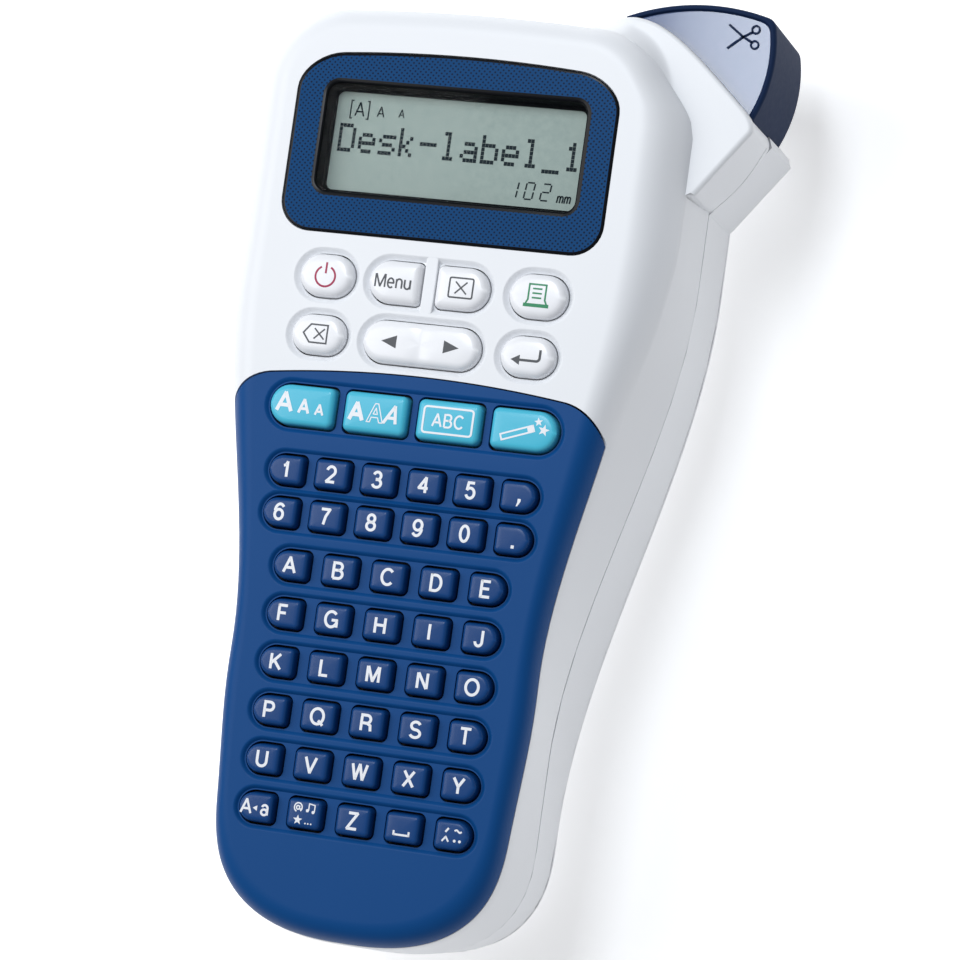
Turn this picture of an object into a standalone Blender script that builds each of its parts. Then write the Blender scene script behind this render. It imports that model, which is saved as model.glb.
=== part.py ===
"""Hand-held label maker, modelled as the separate pieces it comes apart into.

Frame: +X right and +Y towards the cutter as the keys are read, +Z out through the keys.
The origin is the centre of the flat back that it rests on.  Lengths below are millimetres,
and MM turns them into metres where a mesh is made.
"""
import math

import bmesh
import bpy

MM = 0.001
GAP = 0.3                  # clearance between neighbouring pieces
WALL = 2.2                 # housing wall
BODY_STEPS = 10            # points on each rounded end and corner of the body
CURVE_STEPS = 6            # points on a smaller round end
CORNER_STEPS = 2           # points on a small corner

# Levels along Z
COVER_TOP = 9.2
SEAM = 31.5                # front and rear housings part here
FRONT = 57.0               # flat front face
FILLET_HEIGHT = 8.0
SHOULDER = FRONT - FILLET_HEIGHT   # where the drafted wall turns into the front fillet
KEY_TOP = FRONT + 1.5
KEY_TRAVEL = 0.8
DECK_THICK, BATTERY_DECK_THICK = 2.0, 1.8
DECK_LOW = 26.0
DECK_HIGH = DECK_LOW + DECK_THICK
BATTERY_DECK_LOW = 17.6
BATTERY_DECK_HIGH = BATTERY_DECK_LOW + BATTERY_DECK_THICK

# Plan outlines: half width of grip and head, where one blends into the other along Y,
# the two ends, and the radius of the head's corners.
BODY_TOP, BODY_BOTTOM = 98.8, -98.4
OUTLINES = {
    "flat": dict(grip=21.0, head=42.0, start=-70, end=50, bottom=-88.0, top=89.5, corner=13.0),
    "back": dict(grip=30.3, head=50.3, start=-70, end=50, bottom=BODY_BOTTOM, top=BODY_TOP, corner=21.3),
    "seam": dict(grip=32.2, head=50.5, start=-55, end=48, bottom=BODY_BOTTOM, top=BODY_TOP, corner=21.3),
    "shoulder": dict(grip=33.5, head=44.6, start=-40, end=38, bottom=-97.4, top=98.2, corner=18.0),
    "front": dict(grip=29.2, head=37.0, start=-40, end=38, bottom=-91.8, top=92.4, corner=12.0),
}
END_LENGTH = 26.0          # length of the rounded lower end
END_POWER = 2.5            # superellipse power of that end
TOP_RISE = 0.8             # how far the top edge arches up in the middle
SWELL = dict(shoulder=4.9, brow=3.7, front=2.4)   # how far the right side swells beside the cutter block
SWELL_RISE, SWELL_FALL = (15.0, 55.0), (76.0, 89.0)

# Keypad panel
PANEL_EDGE = FRONT - 4.5   # lower rim of the panel, wrapped over the fillet
PANEL_TOP, PANEL_RISE, PANEL_CORNER = 17.4, 2.8, 11.0
PANEL_HALF = 41.0
PANEL_WALL = 2.0

# Display
BEZEL = dict(x=34.9, y0=48.6, y1=87.7, r=7.5)
WINDOW = dict(x=28.2, y0=57.3, y1=80.3, r=2.5)
LEDGE = 1.3                # how far the roof opening is smaller than the window
BEZEL_DEPTH = 1.4
LCD_DEPTH = 5.0

# Keys: centre, size, and which ends are round (left, right)
CONTROL_KEYS = {
    "key_power": (-22.6, 39.4, 12.0, 9.2, True, True),
    "key_menu": (-7.6, 39.4, 11.6, 9.2, True, False),
    "key_clear": (7.0, 39.4, 11.6, 9.2, False, True),
    "key_print": (23.3, 39.4, 12.6, 9.4, True, True),
    "key_backspace": (-22.6, 26.9, 12.0, 8.6, True, True),
    "key_arrows": (-0.1, 26.9, 25.6, 9.2, True, True),
    "key_enter": (22.9, 26.8, 12.0, 8.7, True, True),
}
FUNCTION_KEYS = {
    "key_text_size": (-23.8, 11.7, 14.6, 9.0, True, False),
    "key_text_style": (-7.7, 11.7, 14.2, 9.0, False, False),
    "key_frame": (8.2, 11.7, 14.2, 9.0, False, False),
    "key_design": (24.4, 11.7, 14.6, 9.0, False, True),
}
CAP_W, CAP_H = 8.0, 6.6
LETTER_PITCH, LETTER_COUNT = 10.6, 5
DIGIT_PITCH, DIGIT_COUNT = 10.07, 6
ROW_PITCH, FIRST_LETTER_ROW = 10.05, -21.5
LETTER_ROWS = ("a_e", "f_j", "k_o", "p_t", "u_y", "z_space")
DIGIT_ROWS = {"1": -1.9, "2": -10.8}
CAP_ROUND = 0.9
FLANGE = 1.0               # lip that keeps a key behind its panel
SIDE_FLANGE = 0.4          # the same, on the closely set function keys' sides
FLANGE_THICK = 0.8
MAT_THICK, BOARD_THICK = 1.1, 1.6

# Cutter block, lever and tape line
BLOCK_TOP = FRONT - 7.5
BLOCK_FLOOR, BLOCK_FLOOR_THICK = 9.5, 2.0
BLOCK_FOOT = (51.1, 64.4)  # where the block's long wall leaves the body
BLOCK_TIP = (61.9, 79.2)
COLLAR_START = (31.0, 100.8)
COLLAR_CONTROL = (39.6, 101.4)
COLLAR_BEND = (45.4, 96.3)
COLLAR_END = (61.2, 81.2)
PIVOT = (32.8, 94.7)
LEVER_RADIUS = 30.8
LEVER_BACK, LEVER_FRONT = 19.0, BLOCK_TOP - WALL - GAP
LEVER_ARC = (48.6, 60.4, 44.7)   # centre and radius of its outer edge
LEVER_CORNER = (63.3, 103.8)     # where that edge and the pivot's arc would meet
LEVER_WALL, LEVER_ROOF = 2.2, 2.5
HUB_RADIUS, PIN_RADIUS, BOSS_RADIUS = 3.6, 1.2, 2.4
SPRING_RADIUS, SPRING_WIRE, SPRING_TURNS = 3.15, 0.32, 4
TAPE_INSET = 5.0           # tape line behind the block's long outer wall
TAPE_LOW, TAPE_HIGH = 12.5, 24.5
TAPE_THICK = 0.2
TAPE_DROP = 1.0            # width of the slot that lets the tape out with its cassette
EXIT_AT = 20.0             # where the tape leaves, measured along the tape line
BLADE_AT = 8.5
BLADE_TRAVEL = 3.0
BLADE_THICK = 0.5
NIP_AT = -4.0
HEAD_BACK, HEAD_AHEAD = 10.0, 6.0  # print head along the tape, from the nip
HEAD_NEAR, HEAD_FAR = 0.4, 2.4     # and across it

# Drive
PLATEN_RADIUS, SHAFT_RADIUS = 4.5, 1.5
MOTOR_AT = (28.0, 20.0)
MOTOR_RADIUS = 10.0
FIRST_GEAR_ANGLE = math.radians(95)
RIBBON_ANGLE = math.radians(190)
MODULE = 1.0
TEETH = dict(pinion=10, first=24, second=16, platen=12, ribbon=16)
GEAR_FACE = 3.0
SPINDLE_RADIUS = 2.8

# Cassette and cells
CASSETTE = dict(x0=-32.0, x1=14.0, y0=8.0, y1=86.0, low=10.6, wall=1.0)
ROLL_AT, ROLL_RADIUS, ROLL_BORE = (-11.0, 63.0), 18.0, 8.0
CELL_RADIUS, CELL_LENGTH, CELL_COUNT = 5.25, 44.5, 6
CELL_PITCH = 2 * CELL_RADIUS + 0.5
FIRST_CELL_Y = -79.5
CONTACT_THICK = 0.8

SCREWS = ((-39.5, 80.5), (-40.5, 38.0), (-34.0, -10.0), (34.0, -10.0))
SCREW_RADIUS, SCREW_HEAD, POST_RADIUS = 1.2, 2.6, 3.2
SCREW_END, POST_TOP = SEAM + 8.5, SHOULDER + 1

COLOURS = {
    "white_abs": ((0.86, 0.87, 0.89), 0.38, 0.0),
    "navy_abs": ((0.016, 0.075, 0.24), 0.42, 0.0),
    "bezel_blue": ((0.004, 0.06, 0.25), 0.12, 0.0),
    "lever_navy": ((0.008, 0.03, 0.10), 0.15, 0.0),
    "key_white": ((0.82, 0.84, 0.87), 0.25, 0.0),
    "key_cyan": ((0.03, 0.40, 0.60), 0.25, 0.0),
    "clear": ((0.80, 0.84, 0.82), 0.05, 0.0),
    "lcd": ((0.36, 0.43, 0.38), 0.30, 0.0),
    "rubber": ((0.05, 0.05, 0.05), 0.80, 0.0),
    "board_green": ((0.02, 0.16, 0.07), 0.55, 0.0),
    "steel": ((0.55, 0.56, 0.58), 0.30, 1.0),
    "gear_nylon": ((0.75, 0.74, 0.70), 0.50, 0.0),
    "cassette_grey": ((0.12, 0.12, 0.13), 0.45, 0.0),
    "tape_white": ((0.90, 0.90, 0.88), 0.50, 0.0),
    "cell_green": ((0.03, 0.22, 0.10), 0.35, 0.3),
}


# ---------------------------------------------------------------- outlines
def smooth_step(value):
    value = min(max(value, 0.0), 1.0)
    return value * value * (3 - 2 * value)


def half_width(outline, y, inset=0.0):
    blend = smooth_step((y - outline["start"]) / (outline["end"] - outline["start"]))
    return outline["grip"] + (outline["head"] - outline["grip"]) * blend - inset


def arc(cx, cy, radius, start, stop, steps):
    """Points on an arc, angles in degrees."""
    points = []
    for index in range(steps + 1):
        angle = math.radians(start + (stop - start) * index / steps)
        points.append((cx + radius * math.cos(angle), cy + radius * math.sin(angle)))
    return points


def circle(cx, cy, radius, steps=20):
    return arc(cx, cy, radius, 0, 360, steps)[:-1]


def bezier(first, control, last, steps):
    points = []
    for index in range(steps + 1):
        t = index / steps
        a, b, c = (1 - t) ** 2, 2 * t * (1 - t), t * t
        points.append((a * first[0] + b * control[0] + c * last[0],
                       a * first[1] + b * control[1] + c * last[1]))
    return points


def right_half(outline):
    """Right edge of a body section, from the bottom centre to the top centre."""
    points = []
    joint = outline["bottom"] + END_LENGTH
    width = half_width(outline, joint)
    for index in range(BODY_STEPS):
        angle = math.radians(90 * (1 - index / BODY_STEPS))
        points.append((width * math.cos(angle) ** (2 / END_POWER),
                       joint - END_LENGTH * math.sin(angle) ** (2 / END_POWER)))
    points[0] = (0.0, outline["bottom"])
    corner = outline["corner"]
    corner_y = outline["top"] - TOP_RISE - corner
    side_steps = 14
    for index in range(side_steps):
        y = joint + (corner_y - joint) * index / side_steps
        points.append((half_width(outline, y), y))
    corner_x = half_width(outline, corner_y) - corner
    points += arc(corner_x, corner_y, corner, 0, 90, BODY_STEPS)
    points.append((corner_x * 0.5, outline["top"] - TOP_RISE * 0.25))
    points.append((0.0, outline["top"]))
    return points


def mirrored(points):
    """Close a right half, which starts and ends on x = 0, into a whole outline."""
    return points + [(-x, y) for x, y in reversed(points[1:-1])]


def swelled(points, most):
    """The right side eased outwards beside the cutter block, fading out along Y both ways."""
    moved = []
    for x, y in points:
        rise = smooth_step((y - SWELL_RISE[0]) / (SWELL_RISE[1] - SWELL_RISE[0]))
        fall = 1 - smooth_step((y - SWELL_FALL[0]) / (SWELL_FALL[1] - SWELL_FALL[0]))
        moved.append((x + most * rise * fall if x > 0 else x, y))
    return moved


def body_ring(name):
    return mirrored(right_half(OUTLINES[name]))


def inset_ring(points, distance):
    """Move a counter-clockwise outline inwards by a distance."""
    count = len(points)
    moved = []
    for index, (x, y) in enumerate(points):
        ax, ay = points[index - 1]
        bx, by = points[(index + 1) % count]
        first = math.hypot(x - ax, y - ay)
        second = math.hypot(bx - x, by - y)
        n1 = (-(y - ay) / first, (x - ax) / first)
        n2 = (-(by - y) / second, (bx - x) / second)
        scale = distance / max(0.2, 1 + n1[0] * n2[0] + n1[1] * n2[1])
        moved.append((x + (n1[0] + n2[0]) * scale, y + (n1[1] + n2[1]) * scale))
    return moved


def blend_rings(first, second, amount):
    return [(a[0] + (b[0] - a[0]) * amount, a[1] + (b[1] - a[1]) * amount)
            for a, b in zip(first, second)]


def slot_outline(cx, cy, width, height, round_left=True, round_right=True, corner=1.6):
    """A key's outline: each end is a half round or a square with small corners."""
    points = []
    half_w, half_h = width / 2, height / 2
    right = half_h if round_right else corner
    left = half_h if round_left else corner
    right_steps = CURVE_STEPS // 2 if round_right else CORNER_STEPS
    left_steps = CURVE_STEPS // 2 if round_left else CORNER_STEPS
    points += arc(cx + half_w - right, cy - half_h + right, right, -90, 0, right_steps)
    points += arc(cx + half_w - right, cy + half_h - right, right, 0, 90, right_steps)[round_right:]
    points += arc(cx - half_w + left, cy + half_h - left, left, 90, 180, left_steps)
    points += arc(cx - half_w + left, cy - half_h + left, left, 180, 270, left_steps)[round_left:]
    return points


def rounded_box(x0, x1, y0, y1, radius):
    points = []
    for cx, cy, start in ((x1 - radius, y0 + radius, -90), (x1 - radius, y1 - radius, 0),
                          (x0 + radius, y1 - radius, 90), (x0 + radius, y0 + radius, 180)):
        points += arc(cx, cy, radius, start, start + 90, CURVE_STEPS // 2)
    return points


def rectangle(x0, x1, y0, y1):
    return [(x0, y0), (x1, y0), (x1, y1), (x0, y1)]


def bay_outline(name, inset, y0, y1, steps=10):
    """The inside of a body section between two Y values, with square ends."""
    outline = OUTLINES[name]
    right = []
    for index in range(steps + 1):
        y = y0 + (y1 - y0) * index / steps
        right.append((half_width(outline, y, inset), y))
    return right + [(-x, y) for x, y in reversed(right)]


# ---------------------------------------------------------------- meshes
def material(name):
    found = bpy.data.materials.get(name)
    if found:
        return found
    colour, roughness, metallic = COLOURS[name]
    found = bpy.data.materials.new(name)
    found.use_nodes = True
    shader = found.node_tree.nodes["Principled BSDF"]
    shader.inputs["Base Color"].default_value = (*colour, 1.0)
    shader.inputs["Roughness"].default_value = roughness
    shader.inputs["Metallic"].default_value = metallic
    return found


def new_object(name, mesh, slot=None, origin=(0.0, 0.0, 0.0)):
    obj = bpy.data.objects.new(name, mesh)
    bpy.context.scene.collection.objects.link(obj)
    obj.location = [value * MM for value in origin]
    if slot:
        mesh.materials.append(material(slot))
    else:
        obj.hide_render = True
        obj.display_type = 'WIRE'
    return obj


def loft(name, rings, slot=None, origin=(0.0, 0.0, 0.0), sharp=35):
    """Closed solid through (outline, z) rings given bottom to top, counter-clockwise."""
    mesh = bpy.data.meshes.new(name)
    build = bmesh.new()
    loops = []
    for outline, z in rings:
        loops.append([build.verts.new(((x - origin[0]) * MM, (y - origin[1]) * MM, (z - origin[2]) * MM))
                      for x, y in outline])
    build.faces.new(list(reversed(loops[0])))
    build.faces.new(loops[-1])
    for low, high in zip(loops, loops[1:]):
        for index in range(len(low)):
            after = (index + 1) % len(low)
            build.faces.new((low[index], low[after], high[after], high[index]))
    build.to_mesh(mesh)
    build.free()
    mesh.shade_smooth()
    mesh.set_sharp_from_angle(angle=math.radians(sharp))
    return new_object(name, mesh, slot, origin)


def prism(name, outline, low, high, slot=None, origin=(0.0, 0.0, 0.0)):
    return loft(name, [(outline, low), (outline, high)], slot, origin)


def soft_prism(name, outline, low, high, radius, slot=None, origin=(0.0, 0.0, 0.0), steps=2):
    """Prism whose upper edge is rounded off."""
    rings = [(outline, low)]
    for index in range(steps + 1):
        angle = math.radians(90 * index / steps)
        rings.append((inset_ring(outline, radius * (1 - math.cos(angle))),
                      high - radius * (1 - math.sin(angle))))
    return loft(name, rings, slot, origin)


def combine(obj, other, operation):
    step = obj.modifiers.new(operation.title(), 'BOOLEAN')
    step.operation = operation
    step.solver = 'EXACT'
    step.object = other
    return obj


def cut(obj, name, outline, low, high):
    return combine(obj, prism(name, outline, low, high), 'DIFFERENCE')


def add(obj, name, outline, low, high):
    return combine(obj, prism(name, outline, low, high), 'UNION')


def tube(name, outer, inner, low, high, slot, centre, steps=24, origin=(0.0, 0.0, 0.0)):
    obj = prism(name, circle(*centre, outer, steps), low, high, slot, origin)
    return cut(obj, name + "_bore", circle(*centre, inner, steps), low - 1, high + 1)


# ---------------------------------------------------------------- housings
def front_rings(depth):
    """Rings of the front half, seam to front face, with its skin taken off to a depth.

    The fillet is a quadratic curve that leaves the drafted wall and meets the front face smoothly.
    """
    seam = inset_ring(body_ring("seam"), depth)
    drafted = inset_ring(body_ring("shoulder"), depth)
    shoulder = inset_ring(swelled(body_ring("shoulder"), SWELL["shoulder"]), depth)
    front = inset_ring(swelled(body_ring("front"), SWELL["front"]), depth * 0.4)
    low = SEAM if depth == 0 else SEAM - 1
    rings = [(seam, low), (shoulder, SHOULDER - depth)]
    brow = swelled(blend_rings(seam, drafted, (FRONT - SEAM) / (SHOULDER - SEAM)), SWELL["brow"])
    steps = 5
    for index in range(1, steps + 1):
        t = index / steps
        rings.append((blend_rings(blend_rings(shoulder, brow, t), blend_rings(brow, front, t), t),
                      FRONT - depth - (FRONT - SHOULDER) * (1 - t) ** 2))
    return rings


def panel_outline(clearance=0.0):
    """Everything below the keypad panel's arched upper edge, in plan."""
    half = PANEL_HALF - clearance
    top = PANEL_TOP - clearance
    bend = arc(half - PANEL_CORNER, top - PANEL_CORNER, PANEL_CORNER, 0, 80, CURVE_STEPS)
    end_x, end_y = bend[-1]
    arch = []
    for index in range(1, 6):
        x = end_x * (1 - 2 * index / 6)
        arch.append((x, end_y + PANEL_RISE * (1 - (x / end_x) ** 2)))
    left = [(-x, y) for x, y in reversed(bend)]
    return [(-half, -120), (half, -120)] + bend + arch + left


def block_outline(inset=0.0):
    """The cutter block and its collar, with a foot inside the body."""
    collar = bezier(COLLAR_START, COLLAR_CONTROL, COLLAR_BEND, CURVE_STEPS // 2)
    outer = [BLOCK_FOOT, BLOCK_TIP, COLLAR_END] + list(reversed(collar))
    inside = [(30.0, 84.0), (44.0, 58.0)]
    ring = outer + inside
    if inset:
        moved = inset_ring(ring, inset)
        ring = moved[:len(outer)] + inside
    return ring


def wall_frame():
    """Unit vector along the block's long wall, and the one pointing out of it."""
    dx, dy = BLOCK_TIP[0] - BLOCK_FOOT[0], BLOCK_TIP[1] - BLOCK_FOOT[1]
    length = math.hypot(dx, dy)
    along = (dx / length, dy / length)
    return along, (along[1], -along[0])


def tape_point(distance, aside=0.0):
    """A point by its distance along the tape line and its offset towards the long wall."""
    along, out = wall_frame()
    shift = aside - TAPE_INSET
    return (BLOCK_FOOT[0] + along[0] * distance + out[0] * shift,
            BLOCK_FOOT[1] + along[1] * distance + out[1] * shift)


def tape_box(first, last, near, far):
    """Counter-clockwise box in tape coordinates."""
    return [tape_point(first, far), tape_point(last, far), tape_point(last, near), tape_point(first, near)]


def lever_sweep():
    """Plan of the slot that the lever swings in, wider than the lever by its travel."""
    heel = (PIVOT[0], PIVOT[1] - HUB_RADIUS - 1)
    return [PIVOT, heel] + arc(*PIVOT, LEVER_RADIUS + GAP, -39, 122, 20)


def make_front_housing():
    housing = loft("front_housing", front_rings(0), "white_abs")
    block = soft_prism("front_block", block_outline(), SEAM, BLOCK_TOP, 1.6)
    combine(housing, block, 'UNION')
    combine(housing, loft("front_cavity", front_rings(WALL)), 'DIFFERENCE')
    cut(housing, "front_block_cavity", block_outline(WALL), SEAM - 1, LEVER_FRONT + GAP)
    cut(housing, "front_lever_slot", lever_sweep(), SEAM - 1, LEVER_FRONT + GAP)
    cut(housing, "front_hub_slot", circle(*PIVOT, HUB_RADIUS + GAP), SEAM - 1, LEVER_FRONT + GAP)
    cut(housing, "panel_opening", panel_outline(-GAP), PANEL_EDGE - GAP, FRONT + 5)
    b = BEZEL
    cut(housing, "bezel_recess", rounded_box(-b["x"] - GAP, b["x"] + GAP, b["y0"] - GAP, b["y1"] + GAP, b["r"]),
        FRONT - BEZEL_DEPTH, FRONT + 5)
    w = WINDOW
    cut(housing, "window_opening", rounded_box(-w["x"] + LEDGE, w["x"] - LEDGE, w["y0"] + LEDGE,
        w["y1"] - LEDGE, w["r"]), SHOULDER, FRONT + 5)
    for name, outline in control_openings().items():
        cut(housing, name + "_opening", outline, SHOULDER, FRONT + 5)
    for index, (x, y) in enumerate(SCREWS, 1):
        add(housing, f"front_post_{index}", circle(x, y, POST_RADIUS, 16), SEAM, POST_TOP)
        cut(housing, f"front_post_{index}_bore", circle(x, y, SCREW_RADIUS + GAP, 16), SEAM - 1, SCREW_END + 1)
    add(housing, "front_pivot_boss", circle(*PIVOT, BOSS_RADIUS, 16), LEVER_FRONT + GAP, SHOULDER)
    cut(housing, "front_pivot_bore", circle(*PIVOT, PIN_RADIUS + GAP, 16), LEVER_FRONT, SHOULDER - 1)


def control_openings():
    """One opening per key, but menu and clear share one."""
    openings = {}
    for name, (x, y, width, height, left, right) in CONTROL_KEYS.items():
        openings[name] = slot_outline(x, y, width + 2 * GAP, height + 2 * GAP, left, right)
    menu, clear = CONTROL_KEYS["key_menu"], CONTROL_KEYS["key_clear"]
    del openings["key_clear"]
    left_end = menu[0] - menu[2] / 2
    right_end = clear[0] + clear[2] / 2
    openings["key_menu"] = slot_outline((left_end + right_end) / 2, menu[1], right_end - left_end + 2 * GAP,
                                        menu[3] + 2 * GAP)
    return openings


def make_keypad_panel():
    panel = loft("keypad_panel", front_rings(0), "navy_abs")
    combine(panel, prism("panel_region", panel_outline(), PANEL_EDGE, FRONT + 5), 'INTERSECT')
    combine(panel, loft("panel_cavity", front_rings(PANEL_WALL)), 'DIFFERENCE')
    for name, (x, y, width, height, left, right) in FUNCTION_KEYS.items():
        cut(panel, name + "_opening", slot_outline(x, y, width + 2 * GAP, height + 2 * GAP, left, right),
            SHOULDER, FRONT + 5)
    for name, y, pitch, count in key_rows():
        width = pitch * (count - 1) + CAP_W + 2 * GAP
        cut(panel, name + "_opening", slot_outline(0, y, width, CAP_H + 2 * GAP), SHOULDER, FRONT + 5)


def make_display():
    b, w = BEZEL, WINDOW
    low = FRONT - BEZEL_DEPTH + GAP
    bezel = soft_prism("display_bezel", rounded_box(-b["x"], b["x"], b["y0"], b["y1"], b["r"]), low, FRONT,
                       0.4, "bezel_blue")
    cut(bezel, "bezel_window", rounded_box(-w["x"], w["x"], w["y0"], w["y1"], w["r"]), low - 1, FRONT + 1)
    prism("display_window", rounded_box(-w["x"] + GAP, w["x"] - GAP, w["y0"] + GAP, w["y1"] - GAP,
          w["r"] - GAP), low, FRONT - GAP, "clear")
    roof = FRONT - WALL
    prism("lcd_module", rectangle(-w["x"] - 2, w["x"] + 2, w["y0"] - 3, w["y1"] + 3), roof - GAP - LCD_DEPTH,
          roof - GAP, "lcd")


def head_outline(low_y):
    """The inside of the rear housing above a Y value, with a square lower end."""
    half = half_width(OUTLINES["back"], low_y, WALL)
    upper = [point for point in inset_ring(body_ring("back"), WALL) if point[1] > low_y + 1]
    return [(half, low_y)] + upper + [(-half, low_y)]


def make_rear_housing():
    back, seam = body_ring("back"), body_ring("seam")
    top = SEAM - GAP
    housing = loft("rear_housing", [(back, COVER_TOP + GAP), (seam, top)], "white_abs")
    add(housing, "rear_block", block_outline(), BLOCK_FLOOR, top)
    combine(housing, prism("rear_cavity", inset_ring(back, WALL), DECK_HIGH, top + 1), 'DIFFERENCE')
    first_y, last_y = battery_bay()
    cut(housing, "grip_cavity", bay_outline("back", WALL, BODY_BOTTOM + 14, last_y + WALL),
        BATTERY_DECK_HIGH, top + 1)
    cut(housing, "battery_bay", bay_outline("back", WALL, first_y, last_y), COVER_TOP - 1, BATTERY_DECK_LOW)
    cut(housing, "cassette_bay", head_outline(last_y + 2 * WALL), COVER_TOP - 1, DECK_LOW)
    add(housing, "block_base", block_outline(), BLOCK_FLOOR, BLOCK_FLOOR + BLOCK_FLOOR_THICK)
    cut(housing, "rear_block_cavity", block_outline(WALL), BLOCK_FLOOR + BLOCK_FLOOR_THICK, DECK_LOW)
    cut(housing, "holder_clearance", tape_box(NIP_AT - 8, NIP_AT + 6, -16, GAP), COVER_TOP - 1, DECK_LOW)
    cut(housing, "head_clearance", tape_box(NIP_AT - HEAD_BACK - GAP, NIP_AT + HEAD_AHEAD + GAP,
        HEAD_NEAR - GAP, HEAD_FAR + GAP), BLOCK_FLOOR + BLOCK_FLOOR_THICK, DECK_LOW)
    cut(housing, "tape_drop_slot", tape_box(NIP_AT, BLADE_AT, -TAPE_DROP / 2, TAPE_DROP / 2), COVER_TOP - 1,
        DECK_LOW)
    cut(housing, "rear_lever_slot", lever_sweep(), LEVER_BACK - GAP, top + 1)
    cut(housing, "rear_hub_slot", circle(*PIVOT, HUB_RADIUS + GAP), BLOCK_FLOOR + BLOCK_FLOOR_THICK, top + 1)
    cut(housing, "tape_slot", tape_box(BLADE_AT, EXIT_AT + 6, -1.5, 1.5), TAPE_LOW - GAP, TAPE_HIGH + GAP)
    add(housing, "rear_pivot_boss", circle(*PIVOT, BOSS_RADIUS, 16), BLOCK_FLOOR + 1, LEVER_BACK - GAP)
    cut(housing, "rear_pivot_bore", circle(*PIVOT, PIN_RADIUS + GAP, 16), BLOCK_FLOOR + BLOCK_FLOOR_THICK, LEVER_BACK + 1)
    for index, (x, y) in enumerate(SCREWS, 1):
        cut(housing, f"deck_screw_hole_{index}", circle(x, y, SCREW_RADIUS + GAP, 16), COVER_TOP, top)
    cut(housing, "platen_hole", circle(*platen_centre(), SHAFT_RADIUS + GAP, 16), DECK_LOW - 1, DECK_HIGH + 1)
    cut(housing, "spindle_hole", circle(*gear_places()["ribbon"], SPINDLE_RADIUS + GAP, 16), DECK_LOW - 1,
        DECK_HIGH + 1)


def battery_bay():
    first = FIRST_CELL_Y - CELL_RADIUS - 2 * GAP
    last = FIRST_CELL_Y + CELL_PITCH * (CELL_COUNT - 1) + CELL_RADIUS + 2 * GAP
    return first, last


def cover_rings(depth):
    back = inset_ring(body_ring("back"), depth)
    flat = inset_ring(body_ring("flat"), depth * 0.4)
    rings = []
    steps = 5
    top = COVER_TOP + (1 if depth else 0)
    for index in range(steps, -1, -1):
        angle = math.radians(90 * index / steps)
        rings.append((blend_rings(back, flat, 1 - math.cos(angle)),
                      depth + (top - depth) * (1 - math.sin(angle))))
    return rings


def make_back_cover():
    cover = loft("back_cover", cover_rings(0), "white_abs")
    combine(cover, loft("cover_cavity", cover_rings(WALL)), 'DIFFERENCE')
    block = prism("cover_block_clearance", block_outline(-GAP), BLOCK_FLOOR - GAP, COVER_TOP + 5)
    combine(cover, block, 'DIFFERENCE')


# ---------------------------------------------------------------- keys
def key_rows():
    rows = []
    for label, y in DIGIT_ROWS.items():
        rows.append(("key_row_digits_" + label, y, DIGIT_PITCH, DIGIT_COUNT))
    for index, label in enumerate(LETTER_ROWS):
        rows.append(("key_row_" + label, FIRST_LETTER_ROW - ROW_PITCH * index, LETTER_PITCH, LETTER_COUNT))
    return rows


def make_single_keys():
    """Single caps, each with a lip that stops it behind its panel."""
    for keys, slot, wall, side in ((CONTROL_KEYS, "key_white", WALL, FLANGE),
                                   (FUNCTION_KEYS, "key_cyan", PANEL_WALL, SIDE_FLANGE)):
        lip_top = FRONT - wall - GAP
        for name, (x, y, width, height, left, right) in keys.items():
            outline = slot_outline(x, y, width, height, left, right)
            origin = (x, y, lip_top)
            key = soft_prism(name, outline, lip_top - FLANGE_THICK, KEY_TOP, CAP_ROUND, slot, origin)
            lip_left = 0.0 if name == "key_clear" else side
            lip_right = 0.0 if name == "key_menu" else side
            if name == "key_arrows":
                lip_left = lip_right = -width / 4
            lip = slot_outline(x + (lip_right - lip_left) / 2, y, width + lip_left + lip_right,
                               height + 2 * FLANGE, left, right)
            add(key, name + "_lip", lip, lip_top - FLANGE_THICK, lip_top)


def make_key_rows():
    """The character keys of a row share one web behind the panel."""
    lip_top = FRONT - PANEL_WALL - GAP
    for name, y, pitch, count in key_rows():
        width = pitch * (count - 1) + CAP_W + 2 * FLANGE
        row = prism(name, slot_outline(0, y, width, CAP_H + 2 * FLANGE), lip_top - FLANGE_THICK, lip_top,
                    "navy_abs", (0, y, lip_top))
        for index in range(count):
            x = pitch * (index - (count - 1) / 2)
            cap = soft_prism(f"{name}_cap_{index + 1}",
                             slot_outline(x, y, CAP_W, CAP_H, index == 0, index == count - 1),
                             lip_top - FLANGE_THICK / 2, KEY_TOP, CAP_ROUND, steps=1)
            combine(row, cap, 'UNION')


def make_electronics():
    lip_low = FRONT - WALL - GAP - FLANGE_THICK
    mat_top = lip_low - KEY_TRAVEL - GAP
    rubber = bay_outline("shoulder", 6.0, -80, 45)
    prism("key_mat", rubber, mat_top - MAT_THICK, mat_top, "rubber")
    board_top = mat_top - MAT_THICK - GAP
    board = prism("main_board", rubber, board_top - BOARD_THICK, board_top, "board_green")
    for index, (x, y) in enumerate(SCREWS[1:], 2):
        cut(board, f"board_notch_{index}", circle(x, y, POST_RADIUS + GAP, 16), SHOULDER - 5, board_top + 1)
    motor_low = DECK_HIGH + 2 * GAP + GEAR_FACE + 1
    prism("motor", circle(*MOTOR_AT, MOTOR_RADIUS), motor_low, board_top - BOARD_THICK - GAP, "steel")


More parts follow.
